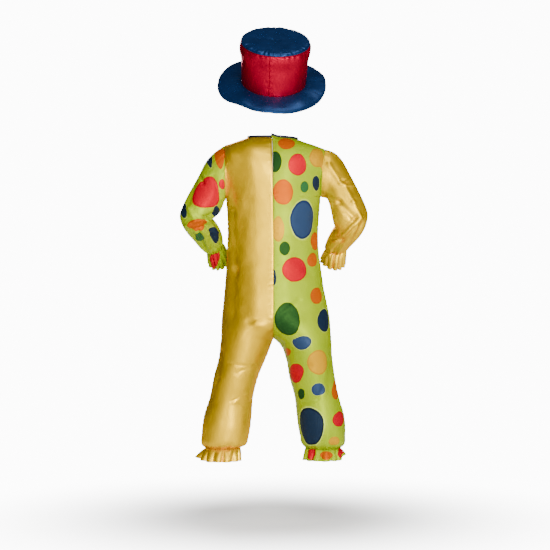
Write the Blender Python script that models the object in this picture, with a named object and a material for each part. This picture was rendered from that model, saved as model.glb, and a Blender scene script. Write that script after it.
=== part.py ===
"""Child's clown costume: a half-and-half satin jumpsuit and its padded top hat.

The jumpsuit keeps the hollow form it has when it is worn, with the hands on the hips
and the legs apart. Its left half is plain yellow and its right half is green with
spots, and the sleeves are the other way round. +Z is up, the front faces -Y, +X is
the wearer's left, and the origin is the centre of the neck's base. Sizes are in
millimetres, measured down from the neck where a column is called drop, and out from
the middle of the body where it is called outer, inner or x. Meshes are in metres.
"""

import math
from collections import namedtuple

import bpy
import numpy as np
from mathutils import Matrix, Vector

MM = 0.001

# Cloth and seams
WALL = 1.5
SEAM = 0.3

# Grid of a body panel
PANEL_COLUMNS = 10
NECK_COLUMNS = 5
ARMHOLE_STEPS = 8

# Levels of the body, down from the neck
SEAT_DROP = 425.0
CROTCH_DROP = 496.0
ANKLE_DROP = 765.0
TORSO_STEPS = 8
CROTCH_STEPS = 6
LEG_DROPS = (502, 509, 524, 544, 570, 597, 624, 651, 678, 705, 728, 746, 757, ANKLE_DROP)

# Armhole: half of its depth from front to back, and how closely the panel hugs it
ARMHOLE_DEPTH = 46.0
ARMHOLE_HUG = 8

# How full the panel is below the neckline and below the shoulder seam
NECK_SWELL = 6.75
SHOULDER_SWELL = 3.5

# Centre-back slit
SLIT_DROP = 240.0
TAPE_TOP = 8.0
TAPE_BOTTOM = 228.0
TAPE_WIDTH = 16.0
TAPE_THICK = 1.0
TAPE_STEPS = 12

# Neck binding
BINDING_HEIGHT = 4.5
BINDING_THICK = 3.2
BINDING_GAP = 3.0

# Frills
WAVES = 13
COLUMNS_PER_WAVE = 6
FRILL_ROWS = 2
FLARE_SPREAD = 0.12

# Sleeves
SLEEVE_COLUMNS = 4 * ARMHOLE_STEPS
WRIST_GATHERS = 8
WRIST_GATHER_HEIGHT = 2.0
HEAD_GATHER_HEIGHT = 1.5
HEAD_GATHER_SPREAD = 0.8

# Top hat, along its own axis from the bottom of the crown
HAT_CENTRE = (0.0, -6.0, 134.0)
HAT_TILT = 33.0
HAT_ROLL = 3.0
CROWN_HEIGHT = 107.0
HAT_COLUMNS = 36
CROWN_BASE = (79.0, 86.0)
CROWN_TOP = (84.0, 81.0)
CROWN_BULGE = 3.6
BULGE_PLACE = 0.86
BULGE_SPREAD = 0.16
CROWN_WALL = 2.5
CROWN_STEPS = 5
# Outline of the padded crown top: in or out from the wall's edge, and up
TOP_PROFILE = ((-50, 7.8), (-12, 7.4), (-2.6, 6), (0.3, 3.4), (0.3, 1.2), (-2.5, 0), (-45, 0))
BRIM_WIDTH = 50.0
BRIM_BACK = 13.0
BRIM_LEFT = 8.0
BRIM_THICK = 5.5
BRIM_DROOP = 12.0
BRIM_LEFT_DROOP = 6.0
BRIM_WAVE = 3.0
BRIM_WAVES = 3
BRIM_WAVE_START = 0.6
# Outline of the padded brim: share of its width, and share of its thickness
BRIM_PROFILE = ((0.0, 0.3), (0.0, 0.7), (0.1, 1.0), (0.5, 1.06), (0.9, 0.95), (1.0, 0.6),
                (1.0, 0.4), (0.9, 0.05), (0.5, -0.06), (0.1, 0.0))

# Faces that meet more sharply than this keep an edge, in degrees
SHARP_ANGLE = 50

Side = namedtuple("Side", "name sign neck tip pit slit")
LEFT = Side("left", 1, neck=(64, -3), tip=(121, -22), pit=(117, -155), slit=6.5)
RIGHT = Side("right", -1, neck=(60, -7), tip=(127, -31), pit=(116, -148), slit=-2.8)

Face = namedtuple("Face", "name sign neck_depth neck_z rounding")
BACK = Face("back", 1, neck_depth=42, neck_z=-4, rounding=11)
FRONT = Face("front", -1, neck_depth=50, neck_z=-36, rounding=7)

# Torso sections: depth behind and before the side seams, and half widths
Torso = namedtuple("Torso", "drop back front left right")
TORSO = (
    Torso(drop=148, back=81, front=82, left=117, right=116),
    Torso(drop=199, back=80, front=84, left=113.5, right=112),
    Torso(drop=243, back=79, front=86, left=113, right=110),
    Torso(drop=287, back=80, front=88, left=115, right=112),
    Torso(drop=331, back=85, front=88, left=117, right=118),
    Torso(drop=374, back=92, front=86, left=120, right=124),
    Torso(drop=407, back=96, front=84, left=123, right=131),
    Torso(drop=445, back=96, front=82, left=127, right=138),
    Torso(drop=496, back=88, front=78, left=129, right=142),
)

# Leg sections: inseam and side seam, and depth behind and before them
Leg = namedtuple("Leg", "drop inner outer back front")
LEGS = {
    LEFT: (
        Leg(drop=496, inner=0.2, outer=129, back=88, front=78),
        Leg(drop=544, inner=19, outer=135, back=80, front=71),
        Leg(drop=591, inner=38, outer=147, back=71, front=65),
        Leg(drop=638, inner=50, outer=156, back=64, front=59),
        Leg(drop=686, inner=54, outer=171, back=63, front=54),
        Leg(drop=721, inner=58, outer=176, back=62, front=51),
        Leg(drop=746, inner=64, outer=177, back=58, front=48),
        Leg(drop=757, inner=69, outer=175.5, back=53, front=44),
        Leg(drop=765, inner=78, outer=172, back=45, front=39),
    ),
    RIGHT: (
        Leg(drop=496, inner=0.2, outer=142, back=88, front=78),
        Leg(drop=504, inner=10, outer=142.5, back=87, front=77),
        Leg(drop=514, inner=18.5, outer=143, back=85.5, front=75.5),
        Leg(drop=544, inner=30, outer=145, back=80, front=71),
        Leg(drop=591, inner=39, outer=151, back=71, front=65),
        Leg(drop=640, inner=52, outer=161, back=64, front=59),
        Leg(drop=686, inner=57, outer=174, back=63, front=54),
        Leg(drop=721, inner=62, outer=177, back=62, front=51),
        Leg(drop=746, inner=68, outer=175, back=56, front=47),
        Leg(drop=757, inner=72, outer=172, back=51, front=43),
        Leg(drop=765, inner=76, outer=168, back=45, front=39),
    ),
}

# Large soft folds of the body: a line from one point to another as seen from behind,
# how far it stands out, or in where that is negative, and its half width
Fold = namedtuple("Fold", "side face x0 drop0 x1 drop1 height width")
FOLDS = (
    Fold(LEFT, BACK, x0=98, drop0=190, x1=100, drop1=420, height=-4.0, width=13),
    Fold(LEFT, BACK, x0=40, drop0=365, x1=57, drop1=428, height=4.0, width=14),
    Fold(LEFT, BACK, x0=58, drop0=432, x1=74, drop1=480, height=4.0, width=13),
    Fold(LEFT, BACK, x0=34, drop0=440, x1=22, drop1=458, height=3.0, width=11),
    Fold(LEFT, BACK, x0=92, drop0=552, x1=46, drop1=563, height=-4.0, width=10),
    Fold(LEFT, BACK, x0=74, drop0=590, x1=84, drop1=612, height=3.5, width=16),
    Fold(LEFT, BACK, x0=102, drop0=646, x1=62, drop1=628, height=-4.5, width=10),
    Fold(RIGHT, BACK, x0=138, drop0=528, x1=134, drop1=620, height=-7.0, width=10),
    Fold(RIGHT, BACK, x0=60, drop0=300, x1=88, drop1=330, height=-3.0, width=14),
    Fold(RIGHT, BACK, x0=88, drop0=560, x1=52, drop1=580, height=-3.0, width=12),
    Fold(RIGHT, BACK, x0=104, drop0=640, x1=72, drop1=652, height=-3.5, width=11),
    Fold(LEFT, FRONT, x0=96, drop0=200, x1=98, drop1=330, height=-4.0, width=14),
    Fold(LEFT, FRONT, x0=30, drop0=470, x1=84, drop1=430, height=-4.0, width=12),
    Fold(LEFT, FRONT, x0=120, drop0=620, x1=76, drop1=634, height=-4.0, width=11),
    Fold(LEFT, FRONT, x0=80, drop0=530, x1=88, drop1=590, height=4.0, width=16),
    Fold(RIGHT, FRONT, x0=92, drop0=210, x1=96, drop1=340, height=-4.0, width=14),
    Fold(RIGHT, FRONT, x0=34, drop0=474, x1=90, drop1=440, height=-4.0, width=12),
    Fold(RIGHT, FRONT, x0=126, drop0=616, x1=80, drop1=630, height=-4.0, width=11),
    Fold(RIGHT, FRONT, x0=86, drop0=530, x1=94, drop1=590, height=4.0, width=16),
)

# Sleeve rings from the armhole to the wrist: the outermost and innermost points as
# seen from behind, the middle's place from front to back, and half the depth
Ring = namedtuple("Ring", "out_x out_drop in_x in_drop y deep")
SLEEVES = {
    LEFT: (
        Ring(out_x=121, out_drop=22, in_x=117, in_drop=155, y=0, deep=46),
        Ring(out_x=146, out_drop=40, in_x=121, in_drop=160, y=2, deep=46),
        Ring(out_x=166, out_drop=62, in_x=124, in_drop=168, y=5, deep=44),
        Ring(out_x=182, out_drop=93, in_x=128, in_drop=177, y=9, deep=42),
        Ring(out_x=197, out_drop=122, in_x=132, in_drop=187, y=14, deep=41),
        Ring(out_x=212, out_drop=150, in_x=139, in_drop=195, y=18, deep=41),
        Ring(out_x=225, out_drop=177, in_x=146, in_drop=201, y=20, deep=42),
        Ring(out_x=230, out_drop=195, in_x=150, in_drop=205, y=18, deep=42),
        Ring(out_x=225, out_drop=214, in_x=147, in_drop=210, y=11, deep=41),
        Ring(out_x=214, out_drop=233, in_x=139, in_drop=216, y=0, deep=38),
        Ring(out_x=200, out_drop=250, in_x=133, in_drop=226, y=-13, deep=35),
        Ring(out_x=184, out_drop=269, in_x=128, in_drop=241, y=-28, deep=31),
        Ring(out_x=164, out_drop=288, in_x=125, in_drop=258, y=-43, deep=25),
    ),
    RIGHT: (
        Ring(out_x=127, out_drop=31, in_x=116, in_drop=148, y=0, deep=46),
        Ring(out_x=150, out_drop=40, in_x=124, in_drop=150, y=2, deep=46),
        Ring(out_x=168, out_drop=58, in_x=132, in_drop=154, y=5, deep=44),
        Ring(out_x=183, out_drop=84, in_x=137, in_drop=165, y=9, deep=42),
        Ring(out_x=197, out_drop=111, in_x=140, in_drop=179, y=14, deep=41),
        Ring(out_x=210, out_drop=137, in_x=143, in_drop=195, y=18, deep=41),
        Ring(out_x=222, out_drop=163, in_x=146, in_drop=211, y=20, deep=42),
        Ring(out_x=230, out_drop=188, in_x=150, in_drop=223, y=18, deep=42),
        Ring(out_x=227, out_drop=207, in_x=149, in_drop=230, y=12, deep=41),
        Ring(out_x=219, out_drop=226, in_x=143, in_drop=239, y=3, deep=38),
        Ring(out_x=208, out_drop=243, in_x=136, in_drop=249, y=-8, deep=35),
        Ring(out_x=196, out_drop=258, in_x=129, in_drop=262, y=-19, deep=31),
        Ring(out_x=181, out_drop=274, in_x=126, in_drop=277, y=-30, deep=26),
    ),
}

# Soft folds of the sleeves: ring and its spread, angle round the ring from the outer
# edge towards the back and its spread, and how far the fold stands out
SleeveFold = namedtuple("SleeveFold", "side ring ring_spread angle angle_spread height")
SLEEVE_FOLDS = (
    SleeveFold(LEFT, ring=3.2, ring_spread=0.9, angle=120, angle_spread=30, height=-4.0),
    SleeveFold(LEFT, ring=5.6, ring_spread=0.7, angle=110, angle_spread=34, height=-4.5),
    SleeveFold(LEFT, ring=7.4, ring_spread=0.7, angle=140, angle_spread=36, height=-5.0),
    SleeveFold(LEFT, ring=9.3, ring_spread=0.8, angle=70, angle_spread=30, height=-4.0),
    SleeveFold(LEFT, ring=6.0, ring_spread=0.9, angle=250, angle_spread=36, height=-4.0),
    SleeveFold(RIGHT, ring=3.0, ring_spread=0.9, angle=95, angle_spread=28, height=-4.0),
    SleeveFold(RIGHT, ring=5.4, ring_spread=0.7, angle=120, angle_spread=34, height=-4.5),
    SleeveFold(RIGHT, ring=7.2, ring_spread=0.7, angle=135, angle_spread=36, height=-5.0),
    SleeveFold(RIGHT, ring=9.2, ring_spread=0.8, angle=60, angle_spread=30, height=-4.0),
    SleeveFold(RIGHT, ring=6.0, ring_spread=0.9, angle=245, angle_spread=36, height=-4.0),
)

# Hem rings of the frills, and how much further the outer edge flares out and up
Hem = namedtuple("Hem", "out_x out_drop in_x in_drop y deep flare lift")
CUFF_HEMS = {
    LEFT: Hem(out_x=158, out_drop=319, in_x=112, in_drop=296, y=-70, deep=34, flare=0, lift=0),
    RIGHT: Hem(out_x=176, out_drop=311, in_x=119, in_drop=302, y=-52, deep=35, flare=0, lift=0),
}
ANKLE_HEMS = {
    LEFT: Hem(out_x=178, out_drop=795, in_x=82, in_drop=795, y=4, deep=49, flare=11, lift=9),
    RIGHT: Hem(out_x=168, out_drop=793, in_x=74, in_drop=793, y=4, deep=49, flare=8, lift=12),
}
WAVE_TOP = 0.8
WAVE_HEM = 5.0

# Finishes: colour, roughness and metallic value
YELLOW_SATIN = ((0.72, 0.47, 0.08), 0.35, 0.0)
SPOTTED_SATIN = ((0.34, 0.52, 0.08), 0.45, 0.0)
NAVY_BINDING = ((0.01, 0.02, 0.06), 0.6, 0.0)
PALE_TAPE = ((0.8, 0.76, 0.66), 0.8, 0.0)
RED_SATIN = ((0.55, 0.01, 0.03), 0.35, 0.0)
BLUE_SATIN = ((0.012, 0.07, 0.24), 0.35, 0.0)

SIDE_CLOTH = {LEFT: YELLOW_SATIN, RIGHT: SPOTTED_SATIN}
SLEEVE_CLOTH = {LEFT: SPOTTED_SATIN, RIGHT: YELLOW_SATIN}


def smooth(rows, column, drop):
    """Reads one column of a table at a drop, on a cubic curve through its rows."""
    knots = np.array([row.drop for row in rows], dtype=float)
    values = np.array([getattr(row, column) for row in rows], dtype=float)
    slopes = np.gradient(values, knots)
    i = int(np.clip(np.searchsorted(knots, drop) - 1, 0, len(knots) - 2))
    span = knots[i + 1] - knots[i]
    t = (drop - knots[i]) / span
    start = (1 + 2 * t) * (1 - t) ** 2 * values[i] + t * (1 - t) ** 2 * span * slopes[i]
    end = t * t * (3 - 2 * t) * values[i + 1] + t * t * (t - 1) * span * slopes[i + 1]
    return start + end


def blend(share, first, second):
    """Mixes two values: the first at a share of 0, the second at 1."""
    return first + (second - first) * share


def centre_edge(side, face, drop):
    """Distance of a panel's centre edge from the middle, wider along the back slit."""
    opened = max(0.0, 1 - drop / SLIT_DROP) if face is BACK else 0.0
    return SEAM / 2 + side.slit * opened


def section_row(side, face, drop, inner, outer, depth):
    """Points of a half ellipse from the centre seam or inseam out to the side seam."""
    middle = (outer + inner) / 2
    reach = (outer - inner) / 2
    edge = max(inner, centre_edge(side, face, drop))
    first = math.acos(max(-1.0, min(1.0, (edge - middle) / reach)))
    points = []
    for k in range(PANEL_COLUMNS + 1):
        angle = first * (1 - k / PANEL_COLUMNS)
        points.append((middle + reach * math.cos(angle), depth * math.sin(angle), -drop))
    points[0] = (edge, points[0][1], -drop)
    return points


def torso_row(side, face, drop):
    """Section of the torso; below the seat it leans out until the legs part."""
    outer = smooth(TORSO, side.name, drop)
    depth = smooth(TORSO, face.name, drop)
    lean = max(0.0, (drop - SEAT_DROP) / (CROTCH_DROP - SEAT_DROP))
    middle = lean * outer / (1 + lean)
    return section_row(side, face, drop, 2 * middle - outer, outer, depth)


def leg_row(side, face, drop):
    """Section of half a leg."""
    rows = LEGS[side]
    inner = max(SEAM / 2, smooth(rows, "inner", drop))
    outer = smooth(rows, "outer", drop)
    return section_row(side, face, drop, inner, outer, smooth(rows, face.name, drop))


def top_edge(side, face):
    """Neckline from the centre to the neck point, then the shoulder seam to its tip."""
    points = []
    start = centre_edge(side, face, 0)
    for k in range(NECK_COLUMNS + 1):
        angle = math.pi / 2 * k / NECK_COLUMNS
        across = math.sin(angle)
        height = side.neck[1] * across ** 2 + face.neck_z * math.cos(angle) ** 2
        points.append((start + (side.neck[0] - start) * across,
                       face.neck_depth * math.cos(angle), height))
    shoulder_columns = PANEL_COLUMNS - NECK_COLUMNS
    for k in range(1, shoulder_columns + 1):
        t = k / shoulder_columns
        points.append((side.neck[0] + (side.tip[0] - side.neck[0]) * t, 0.0,
                       side.neck[1] + (side.tip[1] - side.neck[1]) * t))
    return points


def upper_rows(side, face):
    """Rows from the neckline and shoulder down to the armpit, beside the armhole."""
    top = top_edge(side, face)
    bottom = torso_row(side, face, -side.pit[1])
    rows = []
    for i in range(ARMHOLE_STEPS + 1):
        angle = math.pi * i / ARMHOLE_STEPS
        fallen = (1 - math.cos(angle)) / 2
        row = []
        for k in range(PANEL_COLUMNS + 1):
            u = k / PANEL_COLUMNS
            ridge = min(1.0, k / NECK_COLUMNS)
            beside_arm = u ** ARMHOLE_HUG
            bulge = face.rounding + (ARMHOLE_DEPTH - face.rounding) * u
            spread = blend(ridge, fallen * (2 - fallen), math.sqrt(fallen) * (3 - fallen) / 2)
            swell = blend(ridge, NECK_SWELL * fallen, SHOULDER_SWELL * math.sqrt(fallen))
            swell = bulge * blend(beside_arm, swell * (1 - fallen) ** 2, math.sin(angle))
            x = bottom[k][0] + (top[k][0] - bottom[k][0]) * (1 - fallen) ** (1 + 2 * u)
            y = top[k][1] + (bottom[k][1] - top[k][1]) * spread + swell
            z = top[k][2] + (bottom[k][2] - top[k][2]) * fallen
            row.append((x, y, z))
        row[0] = (centre_edge(side, face, -row[0][2]), row[0][1], row[0][2])
        rows.append(row)
    return rows


def panel_drops(side):
    """Levels of a body panel's rows below the armpit, and where the crotch row is."""
    pit_drop = -side.pit[1]
    torso = [pit_drop + (SEAT_DROP - pit_drop) * i / TORSO_STEPS
             for i in range(1, TORSO_STEPS + 1)]
    crotch = [SEAT_DROP + (CROTCH_DROP - SEAT_DROP) * math.sin(math.pi / 2 * i / CROTCH_STEPS)
              for i in range(1, CROTCH_STEPS + 1)]
    return torso + crotch


def grid_normals(grid, wraps):
    """Unit normals of a grid, across a column first and then down a row."""
    if wraps:
        across = np.roll(grid, -1, axis=1) - np.roll(grid, 1, axis=1)
    else:
        across = np.gradient(grid, axis=1)
    normals = np.cross(across, np.gradient(grid, axis=0))
    return normals / np.linalg.norm(normals, axis=2, keepdims=True)


def flattened(normals, locked):
    """Normals kept within the seams' planes, where a direction is locked."""
    kept = np.where(locked, 0.0, normals)
    return kept / np.linalg.norm(kept, axis=2, keepdims=True)


def fold_push(grid, side, face):
    """How far the large folds move each point of a panel along its normal."""
    push = np.zeros(grid.shape[:2])
    place = np.stack([np.abs(grid[:, :, 0]), -grid[:, :, 2]], axis=2)
    for fold in FOLDS:
        if fold.side is not side or fold.face is not face:
            continue
        start = np.array((fold.x0, fold.drop0), dtype=float)
        line = np.array((fold.x1, fold.drop1), dtype=float) - start
        t = np.clip((place - start) @ line / (line @ line), 0, 1)
        distance = np.linalg.norm(place - start - t[:, :, None] * line, axis=2)
        push += fold.height * np.exp(-(distance / fold.width) ** 2)
    u = np.linspace(0, 1, grid.shape[1])
    return push * np.sqrt(np.maximum(0, np.sin(np.pi * u)))


def body_panel(side, face):
    """Outer and inner points of one half of the front or back, leg included."""
    above = upper_rows(side, face)
    drops = panel_drops(side)
    rows = above + [torso_row(side, face, drop) for drop in drops]
    crotch = len(rows) - 1
    rows += [leg_row(side, face, drop) for drop in LEG_DROPS]
    grid = np.array(rows)
    grid[:, :, 1] += SEAM / 2
    grid *= np.array((side.sign, face.sign, 1))

    locked = np.zeros(grid.shape, dtype=bool)
    locked[0, NECK_COLUMNS:, 1] = True
    locked[:ARMHOLE_STEPS - 1, -1, 0] = True
    locked[ARMHOLE_STEPS:, -1, 1] = True
    locked[:crotch + 1, 0, 0] = True
    locked[crotch:, 0, 1] = True
    locked[-1, :, 2] = True

    facing = side.sign * face.sign
    outward = flattened(grid_normals(grid, False) * facing, locked)
    grid = grid + outward * fold_push(grid, side, face)[:, :, None]
    outward = flattened(grid_normals(grid, False) * facing, locked)
    return grid, grid - WALL * outward


def armhole_ring(side):
    """Armhole loop that the sleeve is set in, from the shoulder tip round the back."""
    (tip_x, tip_z), (pit_x, pit_z) = side.tip, side.pit
    corners = []
    for i in range(2 * ARMHOLE_STEPS):
        angle = math.pi * i / ARMHOLE_STEPS
        fallen = (1 - math.cos(angle)) / 2
        depth = ARMHOLE_DEPTH * math.sin(angle)
        corners.append((pit_x + (tip_x - pit_x) * (1 - fallen) ** 3 + SEAM,
                        depth + math.copysign(SEAM / 2, math.sin(angle)) * (i % ARMHOLE_STEPS > 0),
                        tip_z + (pit_z - tip_z) * fallen))
    corners = np.array(corners)
    halfway = (corners + np.roll(corners, -1, axis=0)) / 2
    return np.stack([corners, halfway], axis=1).reshape(-1, 3)


def ring_frames(rings):
    """Centre, half width and the two directions of each ring of a tube."""
    outer = np.array([(r.out_x, r.y, -r.out_drop) for r in rings], dtype=float)
    inner = np.array([(r.in_x, r.y, -r.in_drop) for r in rings], dtype=float)
    centre = (outer + inner) / 2
    half = np.linalg.norm(outer - inner, axis=1) / 2
    wide = (outer - inner) / (2 * half[:, None])
    back = np.cross(wide, np.gradient(centre, axis=0))
    back /= np.linalg.norm(back, axis=1, keepdims=True)
    back *= np.sign(back[:, 1:2])
    return centre, half, wide, back


def ring_points(centre, wide, back, half, deep, angles, push):
    """Points round one ring, pushed out or in along it."""
    reach_wide = (half + push) * np.cos(angles)
    reach_back = (deep + push) * np.sin(angles)
    return centre + reach_wide[:, None] * wide + reach_back[:, None] * back


def sleeve_grid(side):
    """Outer points of a sleeve, from the armhole to the wrist elastic."""
    rings = SLEEVES[side]
    centre, half, wide, back = ring_frames(rings)
    angles = np.arange(SLEEVE_COLUMNS) * 2 * math.pi / SLEEVE_COLUMNS
    grid = [armhole_ring(side)]
    for i in range(1, len(rings)):
        push = np.zeros(SLEEVE_COLUMNS)
        for fold in SLEEVE_FOLDS:
            if fold.side is side:
                turn = (np.degrees(angles) - fold.angle + 180) % 360 - 180
                push += (fold.height * np.exp(-(turn / fold.angle_spread) ** 2)
                         * math.exp(-((i - fold.ring) / fold.ring_spread) ** 2))
        wrist = max(0.0, 1 - abs(i - (len(rings) - 2)) / 2)
        push += WRIST_GATHER_HEIGHT * wrist * np.cos(WRIST_GATHERS * angles)
        head = math.exp(-((i - 1) / HEAD_GATHER_SPREAD) ** 2) * np.maximum(0, np.cos(angles))
        push += HEAD_GATHER_HEIGHT * head * np.cos(WRIST_GATHERS * angles)
        grid.append(ring_points(centre[i], wide[i], back[i], half[i], rings[i].deep,
                                angles, push))
    return np.array(grid)


def ring_plane(ring):
    """Unit normal of the plane that a ring of points lies in."""
    eighth = len(ring) // 8
    plane = np.cross(ring[0] - ring[2 * eighth], ring[eighth] - ring[3 * eighth])
    return plane / np.linalg.norm(plane)


def within_plane(directions, plane):
    """Unit directions turned into the plane that has a unit normal."""
    kept = directions - (directions @ plane)[:, None] * plane
    return kept / np.linalg.norm(kept, axis=1, keepdims=True)


def sleeve(side):
    """Outer and inner points of a sleeve."""
    grid = sleeve_grid(side) * np.array((side.sign, 1, 1))
    outward = -grid_normals(grid, True) * side.sign
    outward[0] = within_plane(outward[0], np.array((1.0, 0.0, 0.0)))
    outward[-1] = within_plane(outward[-1], ring_plane(grid[-1]))
    return grid, grid - WALL * outward


def frill(side, last, hem, ankle):
    """Outer and inner points of a gathered frill below the ring that ends the cloth."""
    rows = [last, hem]
    outer = np.array([(r.out_x, r.y, -r.out_drop) for r in rows], dtype=float)
    inner = np.array([(r.in_x, r.y, -r.in_drop) for r in rows], dtype=float)
    centre = (outer + inner) / 2
    half = np.linalg.norm(outer - inner, axis=1) / 2
    wide = (outer - inner) / (2 * half[:, None])
    if ankle:
        back = np.array([(0.0, 1.0, 0.0)] * 2)
    else:
        back = np.repeat(ring_frames(SLEEVES[side])[3][-1:], 2, axis=0)
    axis = np.cross(back[0], wide[0])
    axis *= np.sign(axis @ (centre[1] - centre[0])) / np.linalg.norm(axis)
    start = centre[0] + SEAM * axis
    columns = WAVES * COLUMNS_PER_WAVE
    angles = np.arange(columns) * 2 * math.pi / columns
    outermost = np.exp(-((angles + math.pi) % (2 * math.pi) - math.pi) ** 2 / FLARE_SPREAD)
    grid = []
    for i in range(FRILL_ROWS + 1):
        t = i / FRILL_ROWS
        eased = math.sin(t * math.pi / 2)
        middle = start + (centre[1] - start) * t
        across = wide[0] + (wide[1] - wide[0]) * t
        push = (WAVE_TOP + (WAVE_HEM - WAVE_TOP) * t) * np.cos(WAVES * angles)
        push = push + hem.flare * t * outermost
        ring = ring_points(middle, across, back[0] + (back[1] - back[0]) * t,
                           half[0] + (half[1] - half[0]) * eased,
                           last.deep + (hem.deep - last.deep) * eased, angles, push)
        ring[:, 2] += hem.lift * t * outermost
        grid.append(ring)
    grid = np.array(grid) * np.array((side.sign, 1, 1))
    outward = -grid_normals(grid, True) * side.sign
    outward[0] = within_plane(outward[0], axis * np.array((side.sign, 1, 1)))
    return grid, grid - WALL * outward


def ankle_ring(side):
    """Ring of the ankle elastic that ends a leg."""
    leg = LEGS[side][-1]
    middle = (leg.back - leg.front) / 2
    return Ring(leg.outer, leg.drop, leg.inner, leg.drop, middle, (leg.back + leg.front) / 2)


def strip(path, ups, outs, height, thick):
    """Section corners along a path: a flat strip with softened long edges."""
    soft = 0.3
    shape = ((-0.5, -0.5 + soft), (-0.5 + soft, -0.5), (0.5 - soft, -0.5), (0.5, -0.5 + soft),
             (0.5, 0.5 - soft), (0.5 - soft, 0.5), (-0.5 + soft, 0.5), (-0.5, 0.5 - soft))
    rows = []
    for point, up, out in zip(path, ups, outs):
        rows.append([point + out * thick * a + up * height * b for a, b in shape])
    return np.array(rows)


def neck_binding():
    """Section rows of the binding, from the left of the back slit round to its right."""
    path = []
    for side, face in ((LEFT, BACK), (LEFT, FRONT), (RIGHT, FRONT), (RIGHT, BACK)):
        edge = np.array(top_edge(side, face)[:NECK_COLUMNS + 1])
        edge *= np.array((side.sign, face.sign, 1))
        if (side is LEFT) == (face is FRONT):
            edge = edge[::-1]
        path.extend(edge if not path else edge[1:])
    path = np.array(path)
    path[0, 0] = max(path[0, 0], BINDING_GAP)
    away = path * np.array((1, 1, 0))
    away /= np.linalg.norm(away, axis=1, keepdims=True)
    ups = np.repeat([(0.0, 0.0, 1.0)], len(path), axis=0)
    path = path - away * WALL / 2 + ups * (SEAM + BINDING_HEIGHT / 2)
    return strip(path, ups, away, BINDING_HEIGHT, BINDING_THICK)


def closure_tape():
    """Section rows of the flat tape that backs the slit, just inside the back panels."""
    drops = [TAPE_TOP + (TAPE_BOTTOM - TAPE_TOP) * i / TAPE_STEPS for i in range(TAPE_STEPS + 1)]
    seam = np.array([row[0] for row in upper_rows(RIGHT, BACK)]
                    + [torso_row(RIGHT, BACK, drop)[0] for drop in panel_drops(RIGHT)])
    heights = np.array([-drop for drop in drops])
    depth = np.interp(heights, seam[::-1, 2], seam[::-1, 1])
    middle = (LEFT.slit - RIGHT.slit) / 2 * (1 - np.array(drops) / SLIT_DROP)
    inset = 2 * WALL + TAPE_THICK
    path = np.stack([middle, depth - inset, heights], axis=1)
    count = len(drops)
    across = np.repeat([(1.0, 0.0, 0.0)], count, axis=0)
    outs = np.repeat([(0.0, 1.0, 0.0)], count, axis=0)
    return strip(path, across, outs, TAPE_WIDTH, TAPE_THICK)


def oval(radii, angles, height, grow=0.0):
    """Points of a level oval; grow widens it evenly."""
    return np.stack([(radii[0] + grow) * np.sin(angles), (radii[1] + grow) * np.cos(angles),
                     np.zeros_like(angles) + height], axis=1)


def hat_crown_side():
    """Outer and inner points of the crown's wall, full below its top edge."""
    angles = np.arange(HAT_COLUMNS) * 2 * math.pi / HAT_COLUMNS
    outer, inner = [], []
    for i in range(CROWN_STEPS + 1):
        t = math.sin(math.pi / 2 * i / CROWN_STEPS)
        full = CROWN_BULGE * math.exp(-((t - BULGE_PLACE) / BULGE_SPREAD) ** 2)
        full *= i < CROWN_STEPS
        radii = [low + (high - low) * t + full for low, high in zip(CROWN_BASE, CROWN_TOP)]
        outer.append(oval(radii, angles, CROWN_HEIGHT * t))
        inner.append(oval(radii, angles, CROWN_HEIGHT * t, grow=-CROWN_WALL))
    return np.array(outer), np.array(inner)


def hat_crown_top():
    """Section rings of the padded disc on the crown, from its underside over the top."""
    angles = np.arange(HAT_COLUMNS) * 2 * math.pi / HAT_COLUMNS
    base = CROWN_HEIGHT + SEAM
    return np.array([oval(CROWN_TOP, angles, base + z, grow=grow) for grow, z in TOP_PROFILE])


def hat_brim():
    """Section rings of the padded brim, round its inner edge, underside, rim and top."""
    angles = np.arange(HAT_COLUMNS) * 2 * math.pi / HAT_COLUMNS
    back = np.maximum(0, np.cos(angles))
    left = np.maximum(0, np.sin(angles))
    rings = []
    for across, up in BRIM_PROFILE:
        reach = across * (BRIM_WIDTH + BRIM_BACK * back + BRIM_LEFT * left)
        wave = BRIM_WAVE * np.sin(BRIM_WAVES * angles + BRIM_WAVE_START)
        droop = BRIM_DROOP * back + BRIM_LEFT_DROOP * left
        height = up * BRIM_THICK + across ** 2 * (wave - droop)
        ring = oval(CROWN_BASE, angles, 0, grow=2 * SEAM)
        outward = ring / np.linalg.norm(ring, axis=1, keepdims=True)
        ring = ring + reach[:, None] * outward
        ring[:, 2] = height
        rings.append(ring)
    return np.array(rings)


def hat_matrix():
    """Places the hat: tipped back on the head and rolled a little."""
    tip = Matrix.Rotation(math.radians(-HAT_TILT), 4, "X")
    roll = Matrix.Rotation(math.radians(-HAT_ROLL), 4, "Y")
    return Matrix.Translation(Vector(HAT_CENTRE) * MM) @ roll @ tip


def grid_faces(rows, columns, first, wraps, flip):
    """Quads between the rows of a grid whose points start at an index."""
    faces = []
    for i in range(rows - 1):
        for k in range(columns if wraps else columns - 1):
            a = first + i * columns + k
            b = first + i * columns + (k + 1) % columns
            quad = (a, b, b + columns, a + columns)
            faces.append(quad[::-1] if flip else quad)
    return faces


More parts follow.
